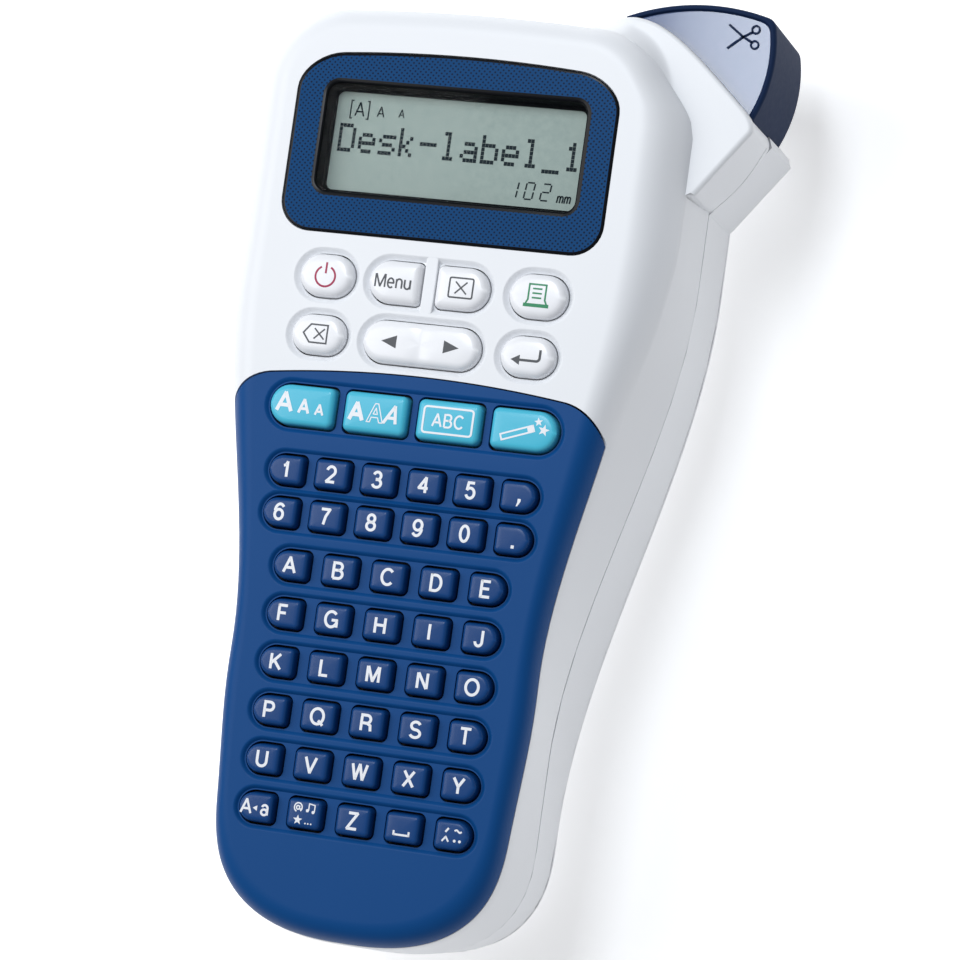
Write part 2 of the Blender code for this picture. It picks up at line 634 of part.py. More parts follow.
# ---------------------------------------------------------------- cutter
def lever_outline(inset=0.0):
    """The lever in plan, or the same set in by a wall and with its corner left square."""
    cx, cy, radius = LEVER_ARC
    turn = math.degrees(inset / LEVER_RADIUS)
    edge = arc(*PIVOT, LEVER_RADIUS - inset, -29 + turn, 12, 8)
    top = arc(cx, cy, radius - inset, 74, 113.5 - turn, 8)
    corner = [] if inset else bezier(edge[-1], LEVER_CORNER, top[0], 4)[1:-1]
    hub = arc(*PIVOT, HUB_RADIUS - inset, 116, 290, 6)
    return edge + corner + top + hub


def make_cutter():
    origin = (*PIVOT, LEVER_BACK)
    outline = lever_outline()
    lever = soft_prism("cutter_lever", outline, LEVER_BACK, LEVER_FRONT, 1.2, "lever_navy", origin)
    cut(lever, "lever_hollow", lever_outline(LEVER_WALL), LEVER_BACK - 1, LEVER_FRONT - LEVER_ROOF)
    add(lever, "lever_hub", circle(*PIVOT, HUB_RADIUS, 16), LEVER_BACK, LEVER_FRONT - 1)
    cut(lever, "lever_bore", circle(*PIVOT, PIN_RADIUS + GAP, 16), LEVER_BACK - 1, LEVER_FRONT + 1)
    cut(lever, "lever_tape_notch", tape_box(EXIT_AT - 12, EXIT_AT + 12, -2.5, 8), LEVER_BACK - 1, TAPE_HIGH + 1)
    prism("lever_pivot_pin", circle(*PIVOT, PIN_RADIUS, 16), BLOCK_FLOOR + BLOCK_FLOOR_THICK + GAP, SHOULDER - 1 - GAP, "steel")
    make_lever_spring()
    low, high = BLOCK_FLOOR + BLOCK_FLOOR_THICK + GAP, LEVER_BACK - 2 * GAP
    prism("blade_carrier", tape_box(BLADE_AT - 3.5, BLADE_AT - GAP, -11, -4.5), low, high, "gear_nylon")
    prism("cutter_blade", tape_box(BLADE_AT, BLADE_AT + BLADE_THICK, -9, -1.5), low, TAPE_HIGH + 1, "steel")
    prism("tape_exit_guide", tape_box(BLADE_AT + 2, EXIT_AT - 4, -3.2, -1.2), low, high, "cassette_grey")


def make_lever_spring():
    """Torsion spring: a helix around the lower pivot boss."""
    segments = 10 * SPRING_TURNS
    low = BLOCK_FLOOR + BLOCK_FLOOR_THICK + GAP + SPRING_WIRE
    high = LEVER_BACK - 2 * GAP - SPRING_WIRE
    curve = bpy.data.curves.new("lever_spring", 'CURVE')
    curve.dimensions = '3D'
    curve.bevel_depth = SPRING_WIRE * MM
    curve.bevel_resolution = 0
    curve.use_fill_caps = True
    line = curve.splines.new('POLY')
    line.points.add(segments)
    for index, point in enumerate(line.points):
        angle = 2 * math.pi * index * SPRING_TURNS / segments
        x = PIVOT[0] + SPRING_RADIUS * math.cos(angle)
        y = PIVOT[1] + SPRING_RADIUS * math.sin(angle)
        z = low + (high - low) * index / segments
        point.co = (x * MM, y * MM, z * MM, 1.0)
    new_object("lever_spring", curve, "steel")


# ---------------------------------------------------------------- drive
def platen_centre():
    return tape_point(NIP_AT, -PLATEN_RADIUS - TAPE_THICK / 2 - GAP / 2)


def polar(centre, radius, angle):
    return centre[0] + radius * math.cos(angle), centre[1] + radius * math.sin(angle)


def centre_distance(first, second):
    return MODULE * (TEETH[first] + TEETH[second]) / 2


def gear_places():
    """Centres of the train: pinion, first, second, platen, and the ribbon spindle off the first."""
    pinion = MOTOR_AT
    first = polar(pinion, centre_distance("pinion", "first"), FIRST_GEAR_ANGLE)
    platen = platen_centre()
    ribbon = polar(first, centre_distance("first", "ribbon"), RIBBON_ANGLE)
    near, far = centre_distance("first", "second"), centre_distance("second", "platen")
    dx, dy = platen[0] - first[0], platen[1] - first[1]
    span = math.hypot(dx, dy)
    reach = (near ** 2 - far ** 2 + span ** 2) / (2 * span)
    side = math.sqrt(max(near ** 2 - reach ** 2, 0.0))
    second = (first[0] + (dx * reach - dy * side) / span, first[1] + (dy * reach + dx * side) / span)
    return dict(pinion=pinion, first=first, second=second, platen=platen, ribbon=ribbon)


def gear_phases(places):
    """Turn each gear so that its teeth stand in the gaps of the one that drives it."""
    phases = {"pinion": 0.0}
    for driver, driven in (("pinion", "first"), ("first", "second"), ("second", "platen"), ("first", "ribbon")):
        a, b = places[driver], places[driven]
        toward = math.atan2(b[1] - a[1], b[0] - a[0])
        shift = (phases[driver] - toward) * TEETH[driver] + math.pi
        phases[driven] = toward + math.pi - shift / TEETH[driven]
    return phases


def gear_outline(centre, teeth, phase):
    radius = MODULE * teeth / 2
    root, tip = radius - 1.15 * MODULE, radius + 0.8 * MODULE
    pitch = 2 * math.pi / teeth
    points = []
    for index in range(teeth):
        middle = phase + pitch * index
        for reach, share in ((root, -0.24), (tip, -0.10), (tip, 0.10), (root, 0.24)):
            points.append(polar(centre, reach, middle + share * pitch))
    return points


def make_gear(name, centre, teeth, phase, bore, slot="gear_nylon"):
    low = DECK_HIGH + GAP
    gear = prism(name, gear_outline(centre, teeth, phase), low, low + GEAR_FACE, slot, (*centre, low))
    if bore:
        cut(gear, name + "_bore", circle(*centre, bore, 16), low - 1, low + GEAR_FACE + 1)
    return gear


def make_drive():
    places = gear_places()
    phases = gear_phases(places)
    low = DECK_HIGH + GAP
    pinion = make_gear("motor_pinion", places["pinion"], TEETH["pinion"], phases["pinion"], 0, "steel")
    add(pinion, "pinion_shaft", circle(*MOTOR_AT, SHAFT_RADIUS, 12), low + 1, low + GEAR_FACE + 1)
    housing = bpy.data.objects["rear_housing"]
    for name in ("first", "second"):
        stud = SHAFT_RADIUS
        add(housing, name + "_gear_stud", circle(*places[name], stud, 16), DECK_HIGH - 1, low + GEAR_FACE + 0.5)
        make_gear(f"{name}_drive_gear", places[name], TEETH[name], phases[name], stud + GAP)
    shaft = SHAFT_RADIUS
    centre = places["platen"]
    prism("platen_shaft", circle(*centre, shaft, 16), TAPE_LOW - 0.8, low + GEAR_FACE, "steel",
          (*centre, TAPE_LOW))
    tube("platen_roller", PLATEN_RADIUS, shaft + GAP, TAPE_LOW, TAPE_HIGH, "rubber", centre,
         origin=(*centre, TAPE_LOW))
    make_gear("platen_gear", centre, TEETH["platen"], phases["platen"], shaft + GAP)
    spindle = make_gear("ribbon_spindle", places["ribbon"], TEETH["ribbon"], phases["ribbon"], 0)
    add(spindle, "ribbon_spindle_stem", circle(*places["ribbon"], SPINDLE_RADIUS, 16),
        TAPE_LOW + 2, low + 1)


def make_print_unit():
    low = BLOCK_FLOOR + BLOCK_FLOOR_THICK + GAP
    prism("print_head", tape_box(NIP_AT - HEAD_BACK, NIP_AT + HEAD_AHEAD, HEAD_NEAR, HEAD_FAR), low,
          DECK_LOW - GAP, "steel")
    centre = platen_centre()
    along, out = wall_frame()
    holder = prism("roller_holder", circle(*centre, PLATEN_RADIUS), TAPE_LOW - 2.6, TAPE_LOW - 1.1,
                   "cassette_grey")
    back = -2 * PLATEN_RADIUS - 1.2
    arm = tape_box(NIP_AT - 3, NIP_AT + 3, back - 2, -PLATEN_RADIUS)
    add(holder, "holder_arm", arm, TAPE_LOW - 2.6, TAPE_LOW - 1.1)
    add(holder, "holder_column", tape_box(NIP_AT - 3, NIP_AT + 3, back - 2, back), TAPE_LOW - 2.6,
        DECK_LOW - GAP)


# ---------------------------------------------------------------- cassette and cells
def make_cassette():
    c = CASSETTE
    high = DECK_LOW - GAP
    case = soft_prism("cassette_case", rounded_box(c["x0"], c["x1"], c["y0"], c["y1"], 3.0), c["low"], high,
                      0.6, "cassette_grey", steps=2)
    wall = c["wall"]
    cut(case, "cassette_room", rounded_box(c["x0"] + wall, c["x1"] - wall, c["y0"] + wall, c["y1"] - wall,
        2.0), c["low"] + wall, high - wall)
    cut(case, "cassette_mouth", rectangle(c["x1"] - 4, c["x1"] + 4, 41, 52), c["low"] + wall, high - wall)
    spindle = gear_places()["ribbon"]
    cut(case, "cassette_spindle_hole", circle(*spindle, SPINDLE_RADIUS + 2 * GAP, 16), c["low"] - 1, high + 1)
    add(case, "roll_post", circle(*ROLL_AT, ROLL_BORE - 2 * GAP), c["low"], high - wall / 2)
    tube("label_roll", ROLL_RADIUS, ROLL_BORE, TAPE_LOW, TAPE_HIGH - GAP, "tape_white", ROLL_AT, 32,
         (*ROLL_AT, TAPE_LOW))
    tube("ribbon_spool", 5.4, SPINDLE_RADIUS + GAP, TAPE_LOW, TAPE_HIGH - GAP, "cassette_grey", spindle, 20,
         (*spindle, TAPE_LOW))
    make_label_tape()


def make_label_tape():
    """Tape from the roll's right side, round a bend at the mouth, along the print head."""
    start = (ROLL_AT[0] + ROLL_RADIUS + GAP, ROLL_AT[1] - 1)
    mouth = (CASSETTE["x1"], 46.5)
    turn = tape_point(NIP_AT - 12)
    route = bezier(start, (start[0] + 0.6, mouth[1] - 0.5), mouth, 6)
    route += bezier(mouth, (turn[0] - 3.2, turn[1] - 3.6), turn, 6)[1:]
    route.append(tape_point(BLADE_AT - 1))
    half = TAPE_THICK / 2
    left = [shift_point(route, index, half) for index in range(len(route))]
    right = [shift_point(route, index, -half) for index in range(len(route))]
    prism("label_tape", right + left[::-1], TAPE_LOW, TAPE_HIGH - GAP, "tape_white")


def shift_point(route, index, distance):
    before, after = route[max(index - 1, 0)], route[min(index + 1, len(route) - 1)]
    dx, dy = after[0] - before[0], after[1] - before[1]
    length = math.hypot(dx, dy)
    return route[index][0] - dy / length * distance, route[index][1] + dx / length * distance


def make_cell(name, y, flip):
    """A dry cell lying along X: turned profile of the can with its nub."""
    mesh = bpy.data.meshes.new(name)
    build = bmesh.new()
    half = CELL_LENGTH / 2
    nub, nub_radius = 1.0, 1.9
    profile = ((-half, CELL_RADIUS - 0.4), (-half + 0.4, CELL_RADIUS), (half - nub - 0.4, CELL_RADIUS),
               (half - nub, CELL_RADIUS - 0.4), (half - nub, nub_radius), (half, nub_radius))
    loops = []
    steps = 20
    for along, radius in profile:
        loop = []
        for index in range(steps):
            angle = 2 * math.pi * index / steps
            loop.append(build.verts.new((along * flip * MM, radius * math.cos(angle) * MM,
                                         radius * math.sin(angle) * flip * MM)))
        loops.append(loop)
    build.faces.new(loops[0][::-1])
    build.faces.new(loops[-1])
    for low, high in zip(loops, loops[1:]):
        for index in range(steps):
            after = (index + 1) % steps
            build.faces.new((low[index], low[after], high[after], high[index]))
    build.to_mesh(mesh)
    build.free()
    mesh.shade_smooth()
    mesh.set_sharp_from_angle(angle=math.radians(35))
    new_object(name, mesh, "cell_green", (0, y, BATTERY_DECK_LOW - GAP - CELL_RADIUS))


def make_cells():
    for index in range(CELL_COUNT):
        make_cell(f"battery_{index + 1}", FIRST_CELL_Y + CELL_PITCH * index, 1 if index % 2 else -1)
    first_y, last_y = battery_bay()
    inner = CELL_LENGTH / 2 + GAP
    low, high = COVER_TOP + GAP, BATTERY_DECK_LOW - GAP
    for side, name in ((-1, "battery_contact_left"), (1, "battery_contact_right")):
        x0, x1 = sorted((side * inner, side * (inner + CONTACT_THICK)))
        prism(name, rectangle(x0, x1, first_y + 3, last_y - 1), low, high, "steel")


def make_screws():
    for index, (x, y) in enumerate(SCREWS, 1):
        low = DECK_LOW if y > battery_bay()[1] + 2 * WALL else BATTERY_DECK_LOW
        head_top = low - GAP
        screw = prism(f"housing_screw_{index}", circle(x, y, SCREW_RADIUS, 12), head_top - 1, SCREW_END, "steel")
        add(screw, f"housing_screw_{index}_head", circle(x, y, SCREW_HEAD, 16), head_top - 2, head_top)


def main():
    for obj in list(bpy.data.objects):
        bpy.data.objects.remove(obj, do_unlink=True)
    make_front_housing()
    make_keypad_panel()
    make_display()
    make_rear_housing()
    make_back_cover()
    make_single_keys()
    make_key_rows()
    make_electronics()
    make_cutter()
    make_drive()
    make_print_unit()
    make_cassette()
    make_cells()
    make_screws()


main()
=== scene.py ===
"""Looks of a hand-held label maker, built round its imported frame.

Frame: +X right and +Y towards the cutter as the keys are read, +Z out through the keys, on its back
at Z = 0.  Lengths are millimetres until a mesh is made.  Every new piece is a surface worked out
with numpy: rings of points stacked into a closed skin, or a profile carried along a path.
"""
import math

import bmesh
import bpy
import numpy as np
from mathutils import Matrix, Vector


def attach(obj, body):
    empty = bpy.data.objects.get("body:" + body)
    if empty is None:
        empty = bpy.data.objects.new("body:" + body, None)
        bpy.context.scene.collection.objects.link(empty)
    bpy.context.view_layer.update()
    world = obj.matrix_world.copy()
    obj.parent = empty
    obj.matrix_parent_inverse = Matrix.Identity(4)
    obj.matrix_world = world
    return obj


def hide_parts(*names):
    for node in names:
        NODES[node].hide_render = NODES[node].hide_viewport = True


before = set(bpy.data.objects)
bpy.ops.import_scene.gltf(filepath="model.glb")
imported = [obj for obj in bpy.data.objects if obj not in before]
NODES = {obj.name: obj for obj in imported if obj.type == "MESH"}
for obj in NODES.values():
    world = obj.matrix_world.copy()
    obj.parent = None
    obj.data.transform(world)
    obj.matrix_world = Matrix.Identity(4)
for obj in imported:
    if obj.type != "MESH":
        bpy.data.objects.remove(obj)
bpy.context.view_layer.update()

MM = 0.001
GAP = 0.3

# Levels along Z, as in the frame
COVER_TOP, SEAM, SHOULDER, FRONT = 9.2, 31.5, 49.0, 57.0
PANEL_EDGE = 52.5
WALL, PANEL_WALL = 2.2, 2.0
# Where the tools that cut openings through the front start and end
INSIDE, ABOVE = 45, FRONT + 5

# Plan outlines: half widths of grip and head, where one blends into the other, ends, corner radius
BODY_TOP, BODY_BOTTOM = 98.8, -98.4
END_LENGTH, END_POWER, TOP_RISE = 26.0, 2.5, 0.8
OUTLINES = {
    "flat": (21.0, 42.0, -70, 50, -88.0, 89.5, 13.0),
    "back": (30.3, 50.3, -70, 50, BODY_BOTTOM, BODY_TOP, 21.3),
    "seam": (32.2, 50.5, -55, 48, BODY_BOTTOM, BODY_TOP, 21.3),
    "shoulder": (33.5, 44.6, -40, 38, -97.4, 98.2, 18.0),
    "front": (29.2, 37.0, -40, 38, -91.8, 92.4, 12.0),
}
# Right side eased out by this much at each level, between these heights along Y
SWELL = {"shoulder": 4.9, "brow": 3.7, "front": 2.4}
SWELL_START, SWELL_RISE, SWELL_END, SWELL_FALL = 15, 40, 76, 13
# Lower end narrowed by this share, from here downwards
TAPER, TAPER_START, TAPER_LENGTH = 0.055, -42, 40
SEAM_INSET, SEAM_CHAMFER = 0.3, 0.25
PANEL_TOP, PANEL_RISE, PANEL_CORNER, PANEL_HALF = 18.2, 2.1, 11.0, 41.0

# Display: bezel, window and the well down to the liquid crystal glass
BEZEL = (34.9, 48.6, 87.7, 6.5)
WINDOW = (28.2, 57.3, 80.3, 2.5)
BEZEL_RISE, BEZEL_BROW = 2.0, 9.2
WELL_FLOOR, GLASS_FOOT = 52.6, 50.5
SEGMENT_LIFT, SEGMENT_SINK = 0.03, 0.1

# Keys: centre, size, and which ends are round
CONTROL_KEYS = {
    "key_power": (-22.6, 39.4, 12.0, 9.2, True, True),
    "key_menu": (-7.6, 39.4, 11.6, 9.2, True, False),
    "key_clear": (7.0, 39.4, 11.6, 9.2, False, True),
    "key_print": (23.3, 39.4, 12.6, 9.4, True, True),
    "key_backspace": (-22.6, 26.9, 12.0, 8.6, True, True),
    "key_arrows": (-0.1, 26.9, 25.6, 9.2, True, True),
    "key_enter": (22.9, 26.8, 12.0, 8.7, True, True),
}
FUNCTION_KEYS = {
    "key_text_size": (-23.8, 11.7, 14.6, 9.0, True, False),
    "key_text_style": (-7.7, 11.7, 14.2, 9.0, False, False),
    "key_frame": (8.2, 11.7, 14.2, 9.0, False, False),
    "key_design": (24.4, 11.7, 14.6, 9.0, False, True),
}
CAP_W, CAP_H = 8.0, 6.6
LETTER_PITCH, DIGIT_PITCH = 10.6, 10.07
KEY_ROWS = {
    "digits_1": (-1.9, DIGIT_PITCH, "12345,"),
    "digits_2": (-10.8, DIGIT_PITCH, "67890."),
    "a_e": (-21.5, LETTER_PITCH, "ABCDE"),
    "f_j": (-31.55, LETTER_PITCH, "FGHIJ"),
    "k_o": (-41.6, LETTER_PITCH, "KLMNO"),
    "p_t": (-51.65, LETTER_PITCH, "PQRST"),
    "u_y": (-61.7, LETTER_PITCH, "UVWXY"),
    "z_space": (-71.75, LETTER_PITCH, "  Z  "),
}
TROUGH_DEPTH = 0.7
# Slit round a cap in the housing and in the keypad panel, and the soft dish round a control key
KEY_SLIT, PANEL_SLIT = 0.34, 0.5
DISH_FLOOR, DISH_RUN, DISH_DEPTH = 0.2, 1.3, 1.25
CAP_BASE = 53.6
CONTROL_CAP = {"top": 58.25, "fillet": 1.5, "crown": 0.22, "draft": 0.12, "corner": 1.3}
FUNCTION_CAP = {"top": 58.35, "fillet": 1.1, "crown": 0.16, "draft": 0.3, "corner": 1.6}
CHARACTER_CAP = {"top": 58.42, "fillet": 0.85, "crown": 0.10, "draft": 0.35, "corner": 1.3}
ROCKER_GROOVE, GROOVE_REACH = 0.2, 1.5
INK_LIFT, INK_SINK = 0.035, 0.12

# Cutter block and lever
BLOCK_TOP = 49.5
BLOCK_FOOT, BLOCK_TIP = (51.1, 64.4), (61.9, 79.2)
COLLAR_START, COLLAR_CONTROL = (31.0, 100.8), (39.6, 101.4)
COLLAR_BEND, COLLAR_END = (45.4, 96.3), (61.2, 81.2)
WALL_STEPS = 14
PARTING_DEPTH, PARTING_HALF = 0.32, 0.16
PIVOT, LEVER_RADIUS, HUB_RADIUS, PIN_RADIUS = (32.8, 94.7), 30.8, 3.6, 1.2
LEVER_BACK, LEVER_FRONT, LEVER_INSIDE, LEVER_FACE_TOP = 19.0, 47.0, 44.5, 46.3
LEVER_ARC = (48.6, 60.4, 44.7)


# ------------------------------------------------------------------ outlines
def smooth_step(value):
    """Cubic ease: 3v^2 - 2v^3 between 0 and 1."""
    value = np.clip(value, 0.0, 1.0)
    return value * value * (3 - 2 * value)


def body_outline(name):
    """Plan of the body: superellipse lower end, eased waist, round upper corners and an arched top."""
    grip, head, start, end, bottom, top, corner = OUTLINES[name]
    joint = bottom + END_LENGTH
    corner_y = top - TOP_RISE - corner
    width = lambda y: grip + (head - grip) * smooth_step((y - start) / (end - start))
    a = np.radians(np.linspace(90, 0, 30, endpoint=False))
    low = np.stack([width(joint) * np.abs(np.cos(a)) ** (2 / END_POWER),
                    joint - END_LENGTH * np.sin(a) ** (2 / END_POWER)], 1)
    low[0, 0] = 0
    y = np.linspace(joint, corner_y, 44, endpoint=False)
    side = np.stack([width(y), y], 1)
    corner_x = width(corner_y) - corner
    b = np.radians(np.linspace(0, 90, 25))
    bend = np.stack([corner_x + corner * np.cos(b), corner_y + corner * np.sin(b)], 1)
    x = np.linspace(corner_x, 0, 9)[1:]
    arch = np.stack([x, top - TOP_RISE * (x / corner_x) ** 2], 1)
    right = np.concatenate([low, side, bend, arch])
    left = right[1:-1][::-1] * (-1, 1)
    return np.concatenate([right, left])


def swelled(outline, most):
    """The right side eased outwards beside the cutter block: x + most * rise(y) * fall(y), both cubic
    eases."""
    y = outline[:, 1]
    rise = smooth_step((y - SWELL_START) / SWELL_RISE)
    share = rise * (1 - smooth_step((y - SWELL_END) / SWELL_FALL)) * (outline[:, 0] > 0)
    return outline + np.stack([most * share, 0 * y], 1)


def tapered(outline):
    """The lower end narrowed: x * (1 - taper * s), s being the cubic ease of the way down."""
    share = smooth_step((TAPER_START - outline[:, 1]) / TAPER_LENGTH)
    return outline * np.stack([1 - TAPER * share, 0 * share + 1], 1)


def set_in(outline, distance):
    """Each point moved inwards along the mean of its two edge normals; the outline runs anticlockwise."""
    edge = np.roll(outline, -1, 0) - outline
    edge /= np.maximum(np.linalg.norm(edge, axis=1, keepdims=True), 1e-9)
    normal = np.stack([-edge[:, 1], edge[:, 0]], 1)
    mean = normal + np.roll(normal, 1, 0)
    mean /= np.maximum((mean * mean).sum(1, keepdims=True) / 2, 0.4)
    return outline + mean * distance


def key_outline(w, h, left, right, inset=0.0, corner=1.5, steps=9, edge=0):
    """Anticlockwise plan of a cap round the origin: each end is a half round or has small corners, and each
    straight edge may carry points of its own."""
    hw, hh = w / 2 - inset, h / 2 - inset
    r = hh if right else max(corner - inset, 0.15)
    l = hh if left else max(corner - inset, 0.15)
    turn = np.radians(np.linspace(0, 90, steps))
    parts = []
    for cx, cy, radius, start in ((hw - r, -hh + r, r, -90), (hw - r, hh - r, r, 0),
                                  (-hw + l, hh - l, l, 90), (-hw + l, -hh + l, l, 180)):
        angle = turn + math.radians(start)
        parts.append(np.stack([cx + radius * np.cos(angle), cy + radius * np.sin(angle)], 1))
    t = np.linspace(0, 1, edge + 2)[1:-1, None]
    after = parts[1:] + parts[:1]
    return np.concatenate([np.concatenate([a, a[-1] + (b[0] - a[-1]) * t]) for a, b in zip(parts, after)])


def rounded_box(x0, x1, y0, y1, radius, rise=0.0, steps=10, edge=12, top=None):
    """Anticlockwise rounded rectangle, its upper corners with their own radius, whose upper edge may bow
    up by a rise that falls off as a parabola."""
    top = top or radius
    turn = np.radians(np.linspace(0, 90, steps))
    t = np.linspace(0, 1, edge)[1:-1]
    corners = ((x1 - radius, y0 + radius, radius, -90), (x1 - top, y1 - top, top, 0),
               (x0 + top, y1 - top, top, 90), (x0 + radius, y0 + radius, radius, 180))
    bends = []
    for cx, cy, size, start in corners:
        angle = turn + math.radians(start)
        bends.append(np.stack([cx + size * np.cos(angle), cy + size * np.sin(angle)], 1))
    parts = []
    for index, bend in enumerate(bends):
        after = bends[(index + 1) % 4][0]
        parts += [bend, bend[-1] + (after - bend[-1]) * t[:, None]]
    ring = np.concatenate(parts)
    mid_x, half = (x0 + x1) / 2, (x1 - x0) / 2
    share = np.clip((ring[:, 1] - (y1 - top)) / top, 0, 1)
    ring[:, 1] += rise * (share * (1 - ((ring[:, 0] - mid_x) / half) ** 2) - share)
    return ring


def bezier(points, steps):
    """Quadratic or cubic curve through its end points: binomial sum of t^k (1-t)^(n-k)."""
    t = np.linspace(0, 1, steps)[:, None]
    n = len(points) - 1
    return sum(math.comb(n, k) * t ** k * (1 - t) ** (n - k) * np.array(p, float)
               for k, p in enumerate(points))


def circle(cx, cy, radius, steps=32, start=0, stop=360):
    """Points at equal angles round a centre, the last left off a full turn."""
    a = np.radians(np.linspace(start, stop, steps, endpoint=stop - start < 360))
    return np.stack([cx + radius * np.cos(a), cy + radius * np.sin(a)], 1)


# ------------------------------------------------------------------ meshes
def at(outline, z):
    """An outline lifted to a height, or to one height per point."""
    return np.column_stack([outline, np.broadcast_to(z, len(outline))])


def put(name, points, faces, sharp=32):
    """A smooth-shaded mesh object whose creases over the angle stay sharp."""
    mesh = bpy.data.meshes.new(name)
    mesh.from_pydata((np.asarray(points) * MM).tolist(), [], faces)
    mesh.shade_smooth()
    mesh.set_sharp_from_angle(angle=math.radians(sharp))
    obj = bpy.data.objects.new(name, mesh)
    bpy.context.scene.collection.objects.link(obj)
    return obj


def skin(rings):
    """Points and faces of a closed skin: equal rings stacked bottom to top, with a lid at both ends."""
    rings = np.asarray(rings)
    rows, count = rings.shape[:2]
    low = np.arange(rows * count).reshape(rows, count)
    after = np.roll(low, -1, 1)
    quads = np.stack([low[:-1], after[:-1], after[1:], low[1:]], -1).reshape(-1, 4)
    faces = quads.tolist() + [low[0, ::-1].tolist(), low[-1].tolist()]
    return rings.reshape(-1, 3), faces


def hoop(rings):
    """Points and faces of a closed band: rings joined one to the next and the last to the first."""
    rings = np.asarray(rings)
    rows, count = rings.shape[:2]
    low = np.arange(rows * count).reshape(rows, count)
    up = np.roll(low, -1, 0)
    faces = np.stack([low, np.roll(low, -1, 1), np.roll(up, -1, 1), up], -1).reshape(-1, 4)
    return rings.reshape(-1, 3), faces.tolist()


def joined(parts):
    """Several (points, faces) sets as one."""
    points, faces, base = [], [], 0
    for some, these in parts:
        points.append(some)
        faces += [[index + base for index in face] for face in these]
        base += len(some)
    return np.concatenate(points), faces


def settle(obj):
    """Modifiers made part of the mesh."""
    view = bpy.context.evaluated_depsgraph_get()
    mesh = bpy.data.meshes.new_from_object(obj.evaluated_get(view), depsgraph=view)
    obj.modifiers.clear()
    obj.data = mesh
    return obj


def carve(obj, tools, operation="DIFFERENCE"):
    """Cuts the body with closed tool skins, joins them to it or keeps what both share, one by one."""
    made = []
    for index, (points, faces) in enumerate(tools):
        tool = put(f"{obj.name}_tool_{index}", points, faces)
        step = obj.modifiers.new(f"carve_{index}", "BOOLEAN")
        step.operation = operation
        step.solver = "EXACT"
        step.object = tool
        made.append(tool)
    settle(obj)
    for tool in made:
        bpy.data.objects.remove(tool, do_unlink=True)
    return obj


def even(obj, sharp=32):
    """Sharp edges by angle, and each corner's normal weighted by face area so that flat faces stay flat."""
    obj.data.shade_smooth()
    obj.data.set_sharp_from_angle(angle=math.radians(sharp))
    step = obj.modifiers.new("even", "WEIGHTED_NORMAL")
    step.keep_sharp = True
    return settle(obj)


def finished(obj, body, finish, *nodes, slot=None):
    """Rides on its body, stands for its nodes and gets its finish."""
    obj.data.materials.clear()
    obj.data.materials.append(finish)
    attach(obj, body)
    if nodes:
        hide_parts(*nodes)
    return obj


def smooth_copy(node, finish, body, slot):
    """A frame node's own shape with its loose corners merged and its round faces shaded smooth."""
    mesh = NODES[node].data.copy()
    build = bmesh.new()
    build.from_mesh(mesh)
    bmesh.ops.remove_doubles(build, verts=build.verts, dist=1e-6)
    build.to_mesh(mesh)
    build.free()
    if "custom_normal" in mesh.attributes:
        mesh.attributes.remove(mesh.attributes["custom_normal"])
    obj = bpy.data.objects.new(node + "_skin", mesh)
    bpy.context.scene.collection.objects.link(obj)
    even(obj)
    return finished(obj, body, finish, node, slot=slot)


# ------------------------------------------------------------------ finishes
def linear(colour):
    """sRGB hex to linear RGBA."""
    parts = [int(colour[i:i + 2], 16) / 255 for i in (1, 3, 5)]
    return (*[c / 12.92 if c <= 0.04045 else ((c + 0.055) / 1.055) ** 2.4 for c in parts], 1.0)


def add(tree, kind, inputs=None, **settings):
    """One node with its settings, each input a value or the socket that feeds it."""
    made = tree.nodes.new("ShaderNode" + kind)
    for key, value in settings.items():
        setattr(made, key, value)
    for key, value in (inputs or {}).items():
        if isinstance(value, bpy.types.NodeSocket):
            tree.links.new(value, made.inputs[key])
        else:
            made.inputs[key].default_value = value
    return made


def blank(name, **shader_inputs):
    """A new material with its shader and the object's own coordinates."""
    made = bpy.data.materials.new(name)
    made.use_nodes = True
    tree = made.node_tree
    tree.nodes.clear()
    values = {key.replace("_", " "): value for key, value in shader_inputs.items()}
    shader = add(tree, "BsdfPrincipled", values)
    out = add(tree, "OutputMaterial")
    tree.links.new(shader.outputs[0], out.inputs["Surface"])
    coords = add(tree, "TexCoord").outputs["Object"]
    return made, tree, shader, coords


def moulded(name, colour, roughness, grain, depth, mottle=0.04, **shader_inputs):
    """Injection-moulded plastic: a faint cloudy tone, a spark-eroded grain of that size in millimetres as
    bump, and roughness that wanders a little."""
    made, tree, shader, coords = blank(name, Roughness=roughness, **shader_inputs)
    cloud = add(tree, "TexNoise", {"Vector": coords, "Scale": 1000 / 22.0, "Detail": 2.0}).outputs["Fac"]
    base = linear(colour)
    deep = tuple(c * (1 - mottle) for c in base[:3]) + (1.0,)
    tone = add(tree, "Mix", {0: cloud, 6: deep, 7: base}, data_type="RGBA")
    tree.links.new(tone.outputs[2], shader.inputs["Base Color"])
    fine = add(tree, "TexNoise", {"Vector": coords, "Scale": 1000 / grain, "Detail": 3.0}).outputs["Fac"]
    rough = add(tree, "MapRange", {"Value": fine, "To Min": roughness * 0.9, "To Max": roughness * 1.12})
    tree.links.new(rough.outputs[0], shader.inputs["Roughness"])
    bump = add(tree, "Bump", {"Height": fine, "Strength": 1.0, "Distance": depth * MM})
    tree.links.new(bump.outputs[0], shader.inputs["Normal"])
    return made


